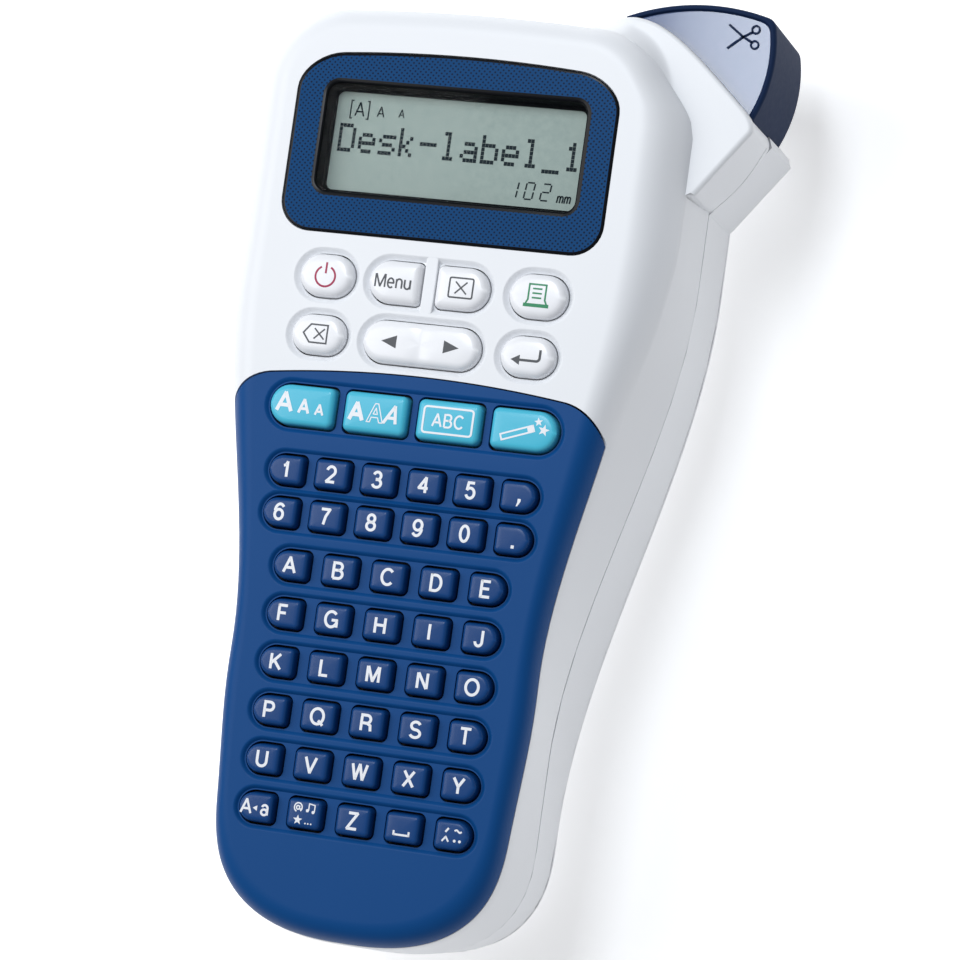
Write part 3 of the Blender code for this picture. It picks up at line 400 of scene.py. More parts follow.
def dotted_film():
    """Blue film printed on its back: staggered black dots 1.15 mm apart, which read as a fine mesh from a
    hand's distance."""
    made, tree, shader, coords = blank("printed_polycarbonate_film", Roughness=0.35,
                                       Specular_IOR_Level=0.06)
    pitch = 1.15 / math.sqrt(2)
    turned = add(tree, "Mapping", {"Vector": coords, "Rotation": (0, 0, math.radians(45)),
                                   "Scale": (1000 / pitch, 1000 / pitch, 0)}).outputs[0]
    cell = add(tree, "VectorMath", {0: turned}, operation="FRACTION").outputs[0]
    centred = add(tree, "VectorMath", {0: cell, 1: (0.5, 0.5, 0.0)}, operation="SUBTRACT").outputs[0]
    reach = add(tree, "VectorMath", {0: centred}, operation="LENGTH").outputs[1]
    dot = add(tree, "MapRange", {"Value": reach, "From Min": 0.20, "From Max": 0.28}).outputs[0]
    tone = add(tree, "Mix", {0: dot, 6: linear("#040E22"), 7: linear("#054275")}, data_type="RGBA")
    tree.links.new(tone.outputs[2], shader.inputs["Base Color"])
    return made


def crystal_glass():
    """Liquid crystal glass over its grey-green reflector: a soft fibrous mottle."""
    made, tree, shader, coords = blank("liquid_crystal_glass", Roughness=0.35, Specular_IOR_Level=0.2)
    mottle = add(tree, "TexNoise", {"Vector": coords, "Scale": 1000 / 1.4, "Detail": 5.0}).outputs["Fac"]
    tone = add(tree, "Mix", {0: mottle, 6: linear("#98ABA6"), 7: linear("#B0C1B9")}, data_type="RGBA")
    tree.links.new(tone.outputs[2], shader.inputs["Base Color"])
    return made


def brushed(name, colour, roughness):
    """Rolled steel: fine lines along one axis that stretch its highlights."""
    made, tree, shader, coords = blank(name, Metallic=1.0, Roughness=roughness, Anisotropic=0.4)
    shader.inputs["Base Color"].default_value = linear(colour)
    lines = add(tree, "Mapping", {"Vector": coords, "Scale": (40, 2500, 2500)}).outputs[0]
    grain = add(tree, "TexNoise", {"Vector": lines, "Scale": 1.0, "Detail": 2.0}).outputs["Fac"]
    rough = add(tree, "MapRange", {"Value": grain, "To Min": roughness * 0.75, "To Max": roughness * 1.3})
    tree.links.new(rough.outputs[0], shader.inputs["Roughness"])
    bump = add(tree, "Bump", {"Height": grain, "Strength": 1.0, "Distance": 0.004 * MM})
    tree.links.new(bump.outputs[0], shader.inputs["Normal"])
    return made


def circuit_board():
    """Green solder mask over copper: a square trace pattern every 2 mm shows through as a lighter green."""
    made, tree, shader, coords = blank("solder_mask_board", Roughness=0.35)
    cells = add(tree, "TexBrick", {"Vector": coords, "Scale": 120.0, "Color1": linear("#0E5A32"),
                                   "Color2": linear("#146B3C"), "Mortar": linear("#0A4426"),
                                   "Mortar Size": 0.03})
    tree.links.new(cells.outputs["Color"], shader.inputs["Base Color"])
    return made


def cell_sleeve():
    """Printed shrink sleeve of a dry cell: satin green with a darker band by its far end."""
    made, tree, shader, coords = blank("printed_shrink_sleeve", Roughness=0.32, Coat_Weight=0.3)
    split = add(tree, "SeparateXYZ", {0: coords}).outputs[0]
    band = add(tree, "MapRange", {"Value": split, "From Min": 0.0118, "From Max": 0.0122}).outputs[0]
    tone = add(tree, "Mix", {0: band, 6: linear("#1E7A4A"), 7: linear("#22262A")}, data_type="RGBA")
    tree.links.new(tone.outputs[2], shader.inputs["Base Color"])
    return made


# White ABS, spark-eroded tool: a cool satin white whose highlights spread out softly
WHITE_ABS = moulded("white_abs_satin", "#EEF0F3", 0.40, 0.35, 0.006, 0.015)
# Navy ABS, same tool finish: deep blue, with a soft pale sheen where it faces the light
NAVY_ABS = moulded("navy_abs_satin", "#0D4A88", 0.42, 0.40, 0.010, 0.06, Specular_IOR_Level=0.13)
# Navy caps, polished a little by fingers: each crown keeps a small soft highlight
NAVY_CAP = moulded("navy_cap_satin", "#0D427E", 0.30, 0.45, 0.008, 0.06, Specular_IOR_Level=0.27)
# White and cyan caps come from a polished tool: hard small highlights
WHITE_CAP = moulded("white_cap_gloss", "#F6F7FA", 0.24, 0.6, 0.002, 0.01)
CYAN_CAP = moulded("cyan_cap_gloss", "#4FC3DF", 0.26, 0.6, 0.003, 0.05, Specular_IOR_Level=0.35)
# Black gloss rim between the film and the window: a thin dark line with a sharp glint
BLACK_GLOSS = moulded("black_gloss_rim", "#0B0D12", 0.2, 0.8, 0.001, 0.2, Specular_IOR_Level=0.15)
# Inside of the well: dry black paint that swallows the light round the glass
BLACK_MATT = moulded("black_matt_paint", "#0A0C10", 0.7, 0.4, 0.003, 0.2, Specular_IOR_Level=0.06)
# Lever face: navy ABS from a mirror-polished tool, which shows the room's light as a pale sheet
LEVER_FACE = moulded("lever_face_polished", "#1C4078", 0.14, 1.2, 0.003, 0.08,
                     Coat_Weight=0.15, Coat_Roughness=0.06)
# Lever sides and raised scissors: the lever's navy straight from the tool, which gives back little of the
# room, its colour painted darker than the face's navy as painted shade
LEVER_NAVY_PAINTED_SHADE = moulded("lever_navy_painted_shade", "#16294A", 0.65, 1.2, 0.003, 0.08, Specular_IOR_Level=0.12)
# Pad-printed inks: flat and dry beside the gloss of the caps
WHITE_INK = moulded("white_pad_ink", "#F4F6FA", 0.5, 0.3, 0.002, 0.02)
GREY_INK = moulded("grey_pad_ink", "#4A4D52", 0.5, 0.3, 0.002, 0.05)
RED_INK = moulded("magenta_pad_ink", "#A81C4C", 0.5, 0.3, 0.002, 0.05)
GREEN_INK = moulded("green_pad_ink", "#1E8A5A", 0.5, 0.3, 0.002, 0.05)
# Switched liquid crystal: near-black figures that lie flat in the glass without a gloss of their own
CRYSTAL_INK = moulded("dark_crystal_segment", "#1A2930", 0.5, 0.3, 0.001, 0.10,
                      Specular_IOR_Level=0.1)
# Back-printed polycarbonate film: a deep blue field with a fine dark mesh under a dull surface
FILM = dotted_film()
# Unlit display glass: pale grey-green, a little cloudy, darker than the housing
CRYSTAL = crystal_glass()
# Rolled steel of shafts, springs, screws and blade: grey metal with stretched highlights
STEEL = brushed("brushed_steel", "#B9BBBD", 0.28)
# Moulded silicone rubber: dark and dry, almost without highlights
RUBBER = moulded("silicone_rubber", "#2A2B2D", 0.75, 0.5, 0.02, 0.15)
# Glass-fibre board under green solder mask: a green sheen with lighter traces
BOARD = circuit_board()
# Gears of natural acetal: waxy off-white with a broad soft highlight
NYLON = moulded("natural_acetal", "#DDDAD0", 0.45, 0.4, 0.004, 0.05)
# Cassette of dark polystyrene: mid grey satin that shows its eroded grain
CASSETTE_GREY = moulded("grey_cassette_styrene", "#55585D", 0.42, 0.4, 0.008, 0.08)
# Laminated label tape: warm white with a smooth plastic sheen
TAPE_PAPER = moulded("laminated_label_tape", "#ECEDE9", 0.35, 0.5, 0.003, 0.04)
# Dry cells in a printed shrink sleeve: glossy green with a dark band
SLEEVE = cell_sleeve()


def clear_sheet():
    """Clear acrylic window: almost all light passes through, and the little it keeps is dark."""
    made, _, shader, _ = blank("clear_acrylic_sheet", Roughness=0.04, IOR=1.49, Alpha=0.05)
    shader.inputs["Base Color"].default_value = linear("#10181C")
    return made


# Cast acrylic: seen only by the reflection that crosses the display
CLEAR = clear_sheet()


# ------------------------------------------------------------------ housing
def front_rings(depth=0.0, steps=14):
    """Body outlines from the seam to the front face: the drafted wall, then a quadratic curve that leaves
    the wall and meets the face, so a ring is (1-t)^2 shoulder + 2t(1-t) brow + t^2 front."""
    seam, drafted, front = (body_outline(n) for n in ("seam", "shoulder", "front"))
    shoulder, front = swelled(drafted, SWELL["shoulder"]), swelled(front, SWELL["front"])
    if depth:
        seam, drafted, shoulder = (set_in(ring, depth) for ring in (seam, drafted, shoulder))
        front = set_in(front, depth * 0.4)
    drafted, shoulder, front = (tapered(ring) for ring in (drafted, shoulder, front))
    brow = swelled(seam + (drafted - seam) * (FRONT - SEAM) / (SHOULDER - SEAM), SWELL["brow"])
    rings = [at(seam, SEAM - 1)] if depth else [at(set_in(seam, SEAM_INSET), SEAM),
                                                at(seam, SEAM + SEAM_CHAMFER)]
    rings.append(at(seam + (shoulder - seam) * 0.5, (SEAM + SHOULDER) / 2))
    for t in np.linspace(0, 1, steps):
        ring = (1 - t) ** 2 * shoulder + 2 * t * (1 - t) * brow + t * t * front
        rings.append(at(ring, FRONT - depth - (FRONT - SHOULDER) * (1 - t) ** 2))
    return rings


def panel_plan(clearance=0.0):
    """Everything below the keypad panel's arched upper edge: a parabola between two round corners."""
    half, top, corner = PANEL_HALF - clearance, PANEL_TOP - clearance, PANEL_CORNER
    a = np.radians(np.linspace(0, 80, 14))
    bend = np.stack([half - corner + corner * np.cos(a), top - corner + corner * np.sin(a)], 1)
    end_x, end_y = bend[-1]
    x = np.linspace(end_x, -end_x, 30)[1:-1]
    arch = np.stack([x, end_y + PANEL_RISE * (1 - (x / end_x) ** 2)], 1)
    foot = np.array([(-half, -120), (half, -120)], float)
    return np.concatenate([foot, bend, arch, bend[::-1] * (-1, 1)])


def column(outline, low, high):
    """An outline carried straight up."""
    return skin([at(outline, low), at(outline, high)])


def centred(outline, x, y):
    """An outline drawn round the origin, moved to its place."""
    return outline + (x, y)


def dish(x, y, w, h, left, right):
    """Tool for a soft recess round a key: the plan grows by floor + run * s while the height follows the
    cubic ease of s, level where it meets the front face."""
    grown = lambda s: centred(key_outline(w, h, left, right, -(DISH_FLOOR + DISH_RUN * s)), x, y)
    rings = [at(grown(s), FRONT - DISH_DEPTH * (1 - smooth_step(0.2 + 0.8 * s)) + 0.02 * s)
             for s in np.linspace(0, 1.0, 10)]
    return skin(rings + [at(grown(1.02), FRONT + 0.6)])


def opening(x, y, w, h, left, right, slit):
    """Tool for a key's opening: its plan wider by the slit, carried through the front face."""
    return column(centred(key_outline(w + slit, h + slit, left, right), x, y), INSIDE, ABOVE)


def menu_pair():
    """The shared opening of the menu and clear keys: centre, width and height."""
    menu, clear = CONTROL_KEYS["key_menu"], CONTROL_KEYS["key_clear"]
    left, right = menu[0] - menu[2] / 2, clear[0] + clear[2] / 2
    return (left + right) / 2, menu[1], right - left, menu[3]


def distance_outside(points, outline):
    """Signed distance from points to a closed outline, positive outside, from the nearest edge."""
    a, b = outline, np.roll(outline, -1, 0)
    edge = b - a
    rel = points[:, None, :] - a[None]
    t = np.clip((rel * edge).sum(-1) / (edge * edge).sum(-1), 0, 1)
    off = rel - t[..., None] * edge
    far = np.linalg.norm(off, axis=-1)
    nearest = far.argmin(1)
    pick = np.arange(len(points))
    cross = edge[nearest, 0] * rel[pick, nearest, 1] - edge[nearest, 1] * rel[pick, nearest, 0]
    return np.where(cross < 0, 1, -1) * far[pick, nearest]


def collar_path():
    """Outer plan of the cutter block from its foot round one eased tip and along the collar, which runs
    on into the body's upper edge, with how far the long wall bows out at each point."""
    foot, tip, end = (np.array(p) for p in (BLOCK_FOOT, BLOCK_TIP, COLLAR_END))
    along = (tip - foot) / np.linalg.norm(tip - foot)
    collar = bezier([COLLAR_END, COLLAR_BEND, COLLAR_CONTROL, COLLAR_START], 40)
    wall = bezier([foot, tip - along * 1.4], WALL_STEPS)
    corner = bezier([wall[-1], tip, end, collar[2]], 12)[1:]
    tail = bezier([COLLAR_START, (27.0, 100.5), (20.0, 98.6)], 9)[1:]
    path = np.concatenate([wall, corner, collar[3:], tail])
    bow = np.zeros((len(path), 2))
    bow[:WALL_STEPS] = np.sin(np.linspace(0, math.pi, WALL_STEPS))[:, None] * (along[1], -along[0])
    return path, bow


def collar_skin():
    """The block's upper half: at each point of its plan a profile runs up the wall, past the parting line
    that climbs a little with the square of the way along it, over a rounded edge and across the top, which
    sinks towards the collar's far end and rises against the dome by k (r - d)^2, d being the distance from
    the dome."""
    path, bow = collar_path()
    tangent = np.gradient(path, axis=0)
    tangent /= np.linalg.norm(tangent, axis=1, keepdims=True)
    inward = np.stack([-tangent[:, 1], tangent[:, 0]], 1)
    run = np.concatenate([[0], np.cumsum(np.linalg.norm(np.diff(path, axis=0), axis=1))])
    share = run / run[-1]
    inner = np.stack([np.interp(share, (0, 0.3, 1), (42.0, 40.0, 18.0)),
                      np.interp(share, (0, 0.3, 1), (60.0, 70.0, 88.0))], 1)
    edge = 1.0
    top = BLOCK_TOP - 7.0 * smooth_step((share - 0.78) / 0.22)
    rows = []
    along = np.clip(run / run[WALL_STEPS - 1], 0, 1)
    line = SEAM + 0.5 + 1.5 * along ** 2
    cut = PARTING_DEPTH * (np.arange(len(path)) <= WALL_STEPS)
    wall = lambda z: path + bow * 0.9 * ((top - edge - z) / (top - edge - SEAM))[:, None]
    for z, into in ((SEAM + 0 * line, 0), (line - PARTING_HALF, 0), (line, 1), (line + PARTING_HALF, 0),
                    (top - edge, 0)):
        rows.append(at(wall(z) + inward * (cut * into)[:, None], z))
    for a in np.radians((15, 30, 45, 60, 75, 90)):
        rows.append(at(path + inward * edge * (1 - math.cos(a)), top - edge * (1 - math.sin(a))))
    start = path + inward * edge
    dome = swelled(body_outline("shoulder"), SWELL["shoulder"])
    reach = 3.6 * smooth_step((share - 0.40) / 0.35)
    for t in np.linspace(0, 1, 48)[1:]:
        flat = start + (inner - start) * t
        gap = np.clip(distance_outside(flat, dome) + 0.6, 0, None)
        rows.append(at(flat, top + 0.22 * np.clip(reach - gap, 0, None) ** 2))
    rows.append(at(inner, SEAM))
    grid = np.stack(rows, 1)
    return skin(grid[:, ::-1])


def front_shell():
    """Front half of the housing: dome, cutter block, display recess, key openings and their soft dishes."""
    shell = put("front_shell", *skin(front_rings()))
    carve(shell, [collar_skin()], "UNION")
    cavity = front_rings(WALL, 5)
    sweep = np.concatenate([[PIVOT, (PIVOT[0], PIVOT[1] - HUB_RADIUS - 1)],
                            circle(*PIVOT, LEVER_RADIUS + GAP, 40, -39, 122)])
    hub = circle(*PIVOT, HUB_RADIUS + GAP, 32)
    bx, by0, by1, br = BEZEL
    wx, wy0, wy1, wr = WINDOW
    tools = [skin(cavity), column(sweep, SEAM - 1, LEVER_FRONT + GAP),
             column(hub, SEAM - 1, LEVER_FRONT + GAP),
             column(panel_plan(-GAP), PANEL_EDGE - GAP, ABOVE)]
    tools.append(column(rounded_box(-bx - 0.2, bx + 0.2, by0 - 0.2, by1 + 0.2, br + 0.2, BEZEL_RISE,
                                    top=BEZEL_BROW + 0.2), FRONT - 1.4, ABOVE))
    tools.append(column(rounded_box(-wx - 1.2, wx + 1.2, wy0 - 1.2, wy1 + 1.2, wr + 1), INSIDE, ABOVE))
    pair = menu_pair()
    for name, plan in CONTROL_KEYS.items():
        if name not in ("key_menu", "key_clear"):
            tools.append(dish(*plan))
        tools.append(opening(*plan, KEY_SLIT))
    tools.append(dish(*pair, True, True))
    carve(shell, tools)
    x, y, half_w, half_h = *pair[:2], 1.35, 6.4
    bar = lambda d: rounded_box(x - half_w + d, x + half_w - d, y - half_h + d, y + half_h - d, 1.1 - d)
    carve(shell, [skin([at(bar(0), 54.9), at(bar(0), FRONT - 0.35), at(bar(0.12), FRONT - 0.12),
                        at(bar(0.4), FRONT - 0.02)])], "UNION")
    even(shell)
    finished(shell, "housing", WHITE_ABS, "front_housing", slot="white_abs")


def cap_place(index, y, pitch, text):
    """Centre, size and round ends of one cap of a character row."""
    last = len(text) - 1
    return pitch * (index - last / 2), y, CAP_W, CAP_H, index == 0, index == last


def keypad_plate():
    """Keypad panel: a slice of the body's front with a shallow trough under each row and one opening for
    each cap."""
    plate = put("keypad_plate", *skin(front_rings(steps=20)))
    carve(plate, [column(panel_plan(), PANEL_EDGE, ABOVE)], "INTERSECT")
    tools = [skin(front_rings(PANEL_WALL, 5))]
    rows = [(y, pitch * (len(text) - 1) + CAP_W, CAP_H, 0.0) for y, pitch, text in KEY_ROWS.values()]
    first, last = FUNCTION_KEYS["key_text_size"], FUNCTION_KEYS["key_design"]
    left, right = first[0] - first[2] / 2, last[0] + last[2] / 2
    rows.append((first[1], right - left, first[3], (left + right) / 2))
    for y, width, height, x in rows:
        rings = []
        for inset, z in ((-0.5, FRONT - TROUGH_DEPTH), (-0.8, FRONT - 0.38), (-1.1, FRONT - 0.12),
                         (-1.5, FRONT + 0.02), (-1.6, FRONT + 1)):
            rings.append(at(centred(key_outline(width, height, True, True, inset), x, y), z))
        tools.append(skin(rings))
    for y, pitch, text in KEY_ROWS.values():
        for index in range(len(text)):
            tools.append(opening(*cap_place(index, y, pitch, text), PANEL_SLIT))
    for plan in FUNCTION_KEYS.values():
        tools.append(opening(*plan, PANEL_SLIT))
    carve(plate, tools)
    even(plate)
    finished(plate, "housing", NAVY_ABS, "keypad_panel", slot="navy_abs")


def cover_shell():
    """Back cover: rings that follow a quarter round from the flat back up to its rim, hollowed, with a
    finger notch at the lower right."""
    def rings(depth, steps):
        """The quarter round's outlines, set in by a depth for the hollow."""
        back, flat = body_outline("back"), body_outline("flat")
        if depth:
            back, flat = set_in(back, depth), set_in(flat, depth * 0.4)
        top = COVER_TOP + (1 if depth else 0)
        made = []
        for a in np.radians(np.linspace(90, 0, steps)):
            height = depth + (top - depth) * (1 - math.sin(a))
            made.append(at(back + (flat - back) * (1 - math.cos(a)), height))
        return made

    cover = put("cover_shell", *skin(rings(0.0, 12)))
    block = np.array([BLOCK_FOOT, BLOCK_TIP, COLLAR_END, COLLAR_BEND, COLLAR_START, (30, 84), (44, 58)],
                     float)
    notch = rounded_box(14.0, 22.0, -99.5, -94.5, 1.2)
    carve(cover, [skin(rings(WALL, 6)), column(set_in(block, -GAP), COVER_TOP, COVER_TOP + 5),
                  column(notch, 6.6, COVER_TOP + 5)])
    even(cover)
    finished(cover, "back_cover", WHITE_ABS, "back_cover", slot="white_abs")


# ------------------------------------------------------------------ display
def display():
    """Bezel rim and well as one profile carried round, its printed film, the window sheet and the glass."""
    bx, by0, by1, br = BEZEL
    wx, wy0, wy1, wr = WINDOW
    outer = lambda d: rounded_box(-bx + d, bx - d, by0 + d, by1 - d, br - d, BEZEL_RISE, top=BEZEL_BROW - d)
    inner = lambda d: rounded_box(-wx - d, wx + d, wy0 - d, wy1 + d, wr + d)
    low = FRONT - 1.1
    profile = [at(outer(0), low), at(outer(0), FRONT - 0.25), at(outer(0.08), FRONT - 0.08),
               at(outer(0.25), FRONT), at(inner(0.5), FRONT), at(inner(0.25), FRONT - 0.06),
               at(inner(0.07), FRONT - 0.22), at(inner(0), FRONT - 0.4), at(inner(0.9), FRONT - 0.4),
               at(inner(0.9), low)]
    rim = put("bezel_rim", *hoop(profile), sharp=40)
    finished(rim, "housing", BLACK_GLOSS, "display_bezel", slot="bezel_blue")
    well = hoop([at(inner(0.9), FRONT - 0.42), at(inner(0), FRONT - 0.42),
                 at(inner(-0.15), WELL_FLOOR + 0.5), at(inner(-0.95), WELL_FLOOR + 0.4),
                 at(inner(-0.95), WELL_FLOOR), at(inner(0.9), WELL_FLOOR)])
    finished(put("display_well", *well, sharp=40), "housing", BLACK_MATT, slot="bezel_blue")
    film = hoop([at(outer(0.55), FRONT - 0.1), at(outer(0.55), FRONT + 0.015),
                 at(inner(1.0), FRONT + 0.015), at(inner(1.0), FRONT - 0.1)])
    finished(put("bezel_film", *film), "housing", FILM, slot="bezel_blue")
    sheet = skin([at(inner(-0.05), FRONT - 1.0), at(inner(-0.05), FRONT - 0.6)])
    finished(put("window_sheet", *sheet), "housing", CLEAR, "display_window", slot="clear")
    glass = skin([at(inner(0.6), GLASS_FOOT), at(inner(0.6), WELL_FLOOR - 0.05)])
    finished(put("crystal_glass", *glass), "housing", CRYSTAL, "lcd_module", slot="lcd")


DOT_GLYPHS = {
    "D": "####.|#...#|#...#|#...#|#...#|#...#|####.",
    "e": ".....|.....|.###.|#...#|#####|#....|.###.",
    "s": ".....|.....|.####|#....|.###.|....#|####.",
    "k": "#....|#....|#..#.|#.#..|##...|#.#..|#..#.",
    "-": ".....|.....|.....|#####|.....|.....|.....",
    "l": ".##..|..#..|..#..|..#..|..#..|..#..|.###.",
    "a": ".....|.....|.###.|....#|.####|#...#|.####",
    "b": "#....|#....|####.|#...#|#...#|#...#|####.",
    "_": ".....|.....|.....|.....|.....|.....|.....|#####",
    "1": "..#..|.##..|..#..|..#..|..#..|..#..|.###.",
}


def dot_text():
    """Dot-matrix line: one flat square a dot, its place from the glyph's rows and columns."""
    pitch, size = (0.75, 0.87), (0.67, 0.79)
    x0, y0 = -25.7, 72.2
    cells = []
    for place, letter in enumerate("Desk-label_1"):
        for row, line in enumerate(DOT_GLYPHS[letter].split("|")):
            cells += [(place * 6 + across, row) for across, dot in enumerate(line) if dot == "#"]
    cells = np.array(cells, float)
    centre = np.stack([x0 + cells[:, 0] * pitch[0], y0 - cells[:, 1] * pitch[1]], 1)
    square = np.array([(-1, -1), (1, -1), (1, 1), (-1, 1)]) * 0.5 * size
    low, high = WELL_FLOOR - SEGMENT_SINK, WELL_FLOOR + SEGMENT_LIFT
    return joined([column(c + square, low, high) for c in centre])


def small_signs():
    """Size signs at the top left and slanted seven-segment figures with their unit at the lower right."""
    parts = [letters("A", 3.2, -22.2, 75.8, 0.10, 0.80), letters("A", 2.4, -17.5, 75.6, 0.11, 0.80),
             letters("A", 1.9, -12.9, 75.6, 0.11, 0.80)]
    for side in (-1, 1):
        x = -22.2 + side * 2.0
        parts.append(mark([(x - side * 0.5, 77.6), (x, 77.6), (x, 73.8), (x - side * 0.5, 73.8)], 0.26))
    segments = {"1": "bc", "0": "abcdef", "2": "abged"}
    lines = {"a": ((0.1, 1), (0.9, 1)), "b": ((1, 0.95), (1, 0.55)), "c": ((1, 0.45), (1, 0.05)),
             "d": ((0.1, 0), (0.9, 0)), "e": ((0, 0.45), (0, 0.05)), "f": ((0, 0.95), (0, 0.55)),
             "g": ((0.1, 0.5), (0.9, 0.5))}
    for place, figure in enumerate("102"):
        for name in segments[figure]:
            line = np.array(lines[name]) * (1.8, 3.5)
            line[:, 0] += 12.4 + place * 3.5 + line[:, 1] * 0.12
            parts.append(mark(line + (0, 60.0), 0.30))
    parts.append(letters("mm", 2.3, 24.6, 60.8, 0.13, 0.72, 0.12))
    return laid(joined(parts), lambda x, y: WELL_FLOOR + 0 * x, SEGMENT_LIFT, SEGMENT_SINK)


# ------------------------------------------------------------------ marks
def stroke(path, width, closed=False):
    """Flat line of a given width: a left and a right edge set off along the mitred normals of its path."""
    path = np.asarray(path, float)
    if closed:
        ahead, behind = np.roll(path, -1, 0) - path, path - np.roll(path, 1, 0)
    else:
        ahead = np.diff(path, axis=0, append=path[-1:] * 2 - path[-2:-1])
        behind = np.diff(path, axis=0, prepend=path[:1] * 2 - path[1:2])
    ahead = ahead / np.linalg.norm(ahead, axis=1, keepdims=True)
    behind = behind / np.linalg.norm(behind, axis=1, keepdims=True)
    mean = ahead + behind
    normal = np.stack([-mean[:, 1], mean[:, 0]], 1)
    normal /= np.maximum((mean * mean).sum(1, keepdims=True) / 2, 0.5)
    return path + normal * width / 2, path - normal * width / 2


def runs(path, closed, limit=40):
    """A polyline split where it turns sharper than the limit: points, turn in and turn out of each run."""
    path = np.asarray(path, float)
    if closed:
        path = np.concatenate([path, path[:1]])
    step = np.diff(path, axis=0)
    heading = np.arctan2(step[:, 1], step[:, 0])
    turn = np.abs((np.diff(heading) + math.pi) % (2 * math.pi) - math.pi)
    cuts = [0, *(np.flatnonzero(turn > math.radians(limit)) + 1), len(path) - 1]
    last = np.abs((heading[0] - heading[-1] + math.pi) % (2 * math.pi) - math.pi) if closed else 0.0
    turns = [last, *turn[np.array(cuts[1:-1], int) - 1], last]
    return [(path[a:b + 1], turns[i], turns[i + 1]) for i, (a, b) in enumerate(zip(cuts[:-1], cuts[1:]))]


def dense(path, step=0.6):
    """The polyline with points no further apart than the step."""
    parts = [path[:1]]
    for a, b in zip(path[:-1], path[1:]):
        count = max(1, math.ceil(np.linalg.norm(b - a) / step))
        parts.append(a + (b - a) * (np.arange(1, count + 1) / count)[:, None])
    return np.concatenate(parts)


def mark(path, width, closed=False):
    """A stroke with thickness: its four corners carried along each run of the path, z 0 to 1 standing for
    low and high.  Runs that meet at a turn of angle a reach past it by
    width / 2 * min(tan a/2, 1 / tan a/2)."""
    pieces = []
    made = runs(path, closed)
    if closed and len(made) == 1 and made[0][1] < math.radians(40):
        left, right = stroke(dense(made[0][0])[:-1], width, True)
        return hoop(np.stack([at(right, 0), at(right, 1), at(left, 1), at(left, 0)]))
    for points, before, after in made:
        first, last = points[1] - points[0], points[-1] - points[-2]
        for index, way, turn in ((0, -first, before), (-1, last, after)):
            if turn > math.radians(5):
                reach = width / 2 * min(math.tan(turn / 2), 1 / max(math.tan(turn / 2), 0.01))
                points = points.copy()
                points[index] += way / np.linalg.norm(way) * reach
        left, right = stroke(dense(points), width)
        rings = np.stack([at(right, 0), at(right, 1), at(left, 1), at(left, 0)])
        pieces.append(skin(rings.transpose(1, 0, 2)[:, ::-1]))
    return joined(pieces)


def patch(outline):
    """A filled outline with thickness, its top ringed halfway in so that it follows a crown."""
    outline = np.asarray(outline, float)
    middle = outline.mean(0)
    return skin([at(outline, 0), at(outline, 1), at(middle + (outline - middle) * 0.5, 1)])


def star(cx, cy, radius, points=5, turn=90):
    """Alternating outer and inner radii at equal angles."""
    a = np.radians(turn + np.arange(2 * points) * 180 / points)
    r = np.where(np.arange(2 * points) % 2, radius * 0.42, radius)
    return np.stack([cx + r * np.cos(a), cy + r * np.sin(a)], 1)


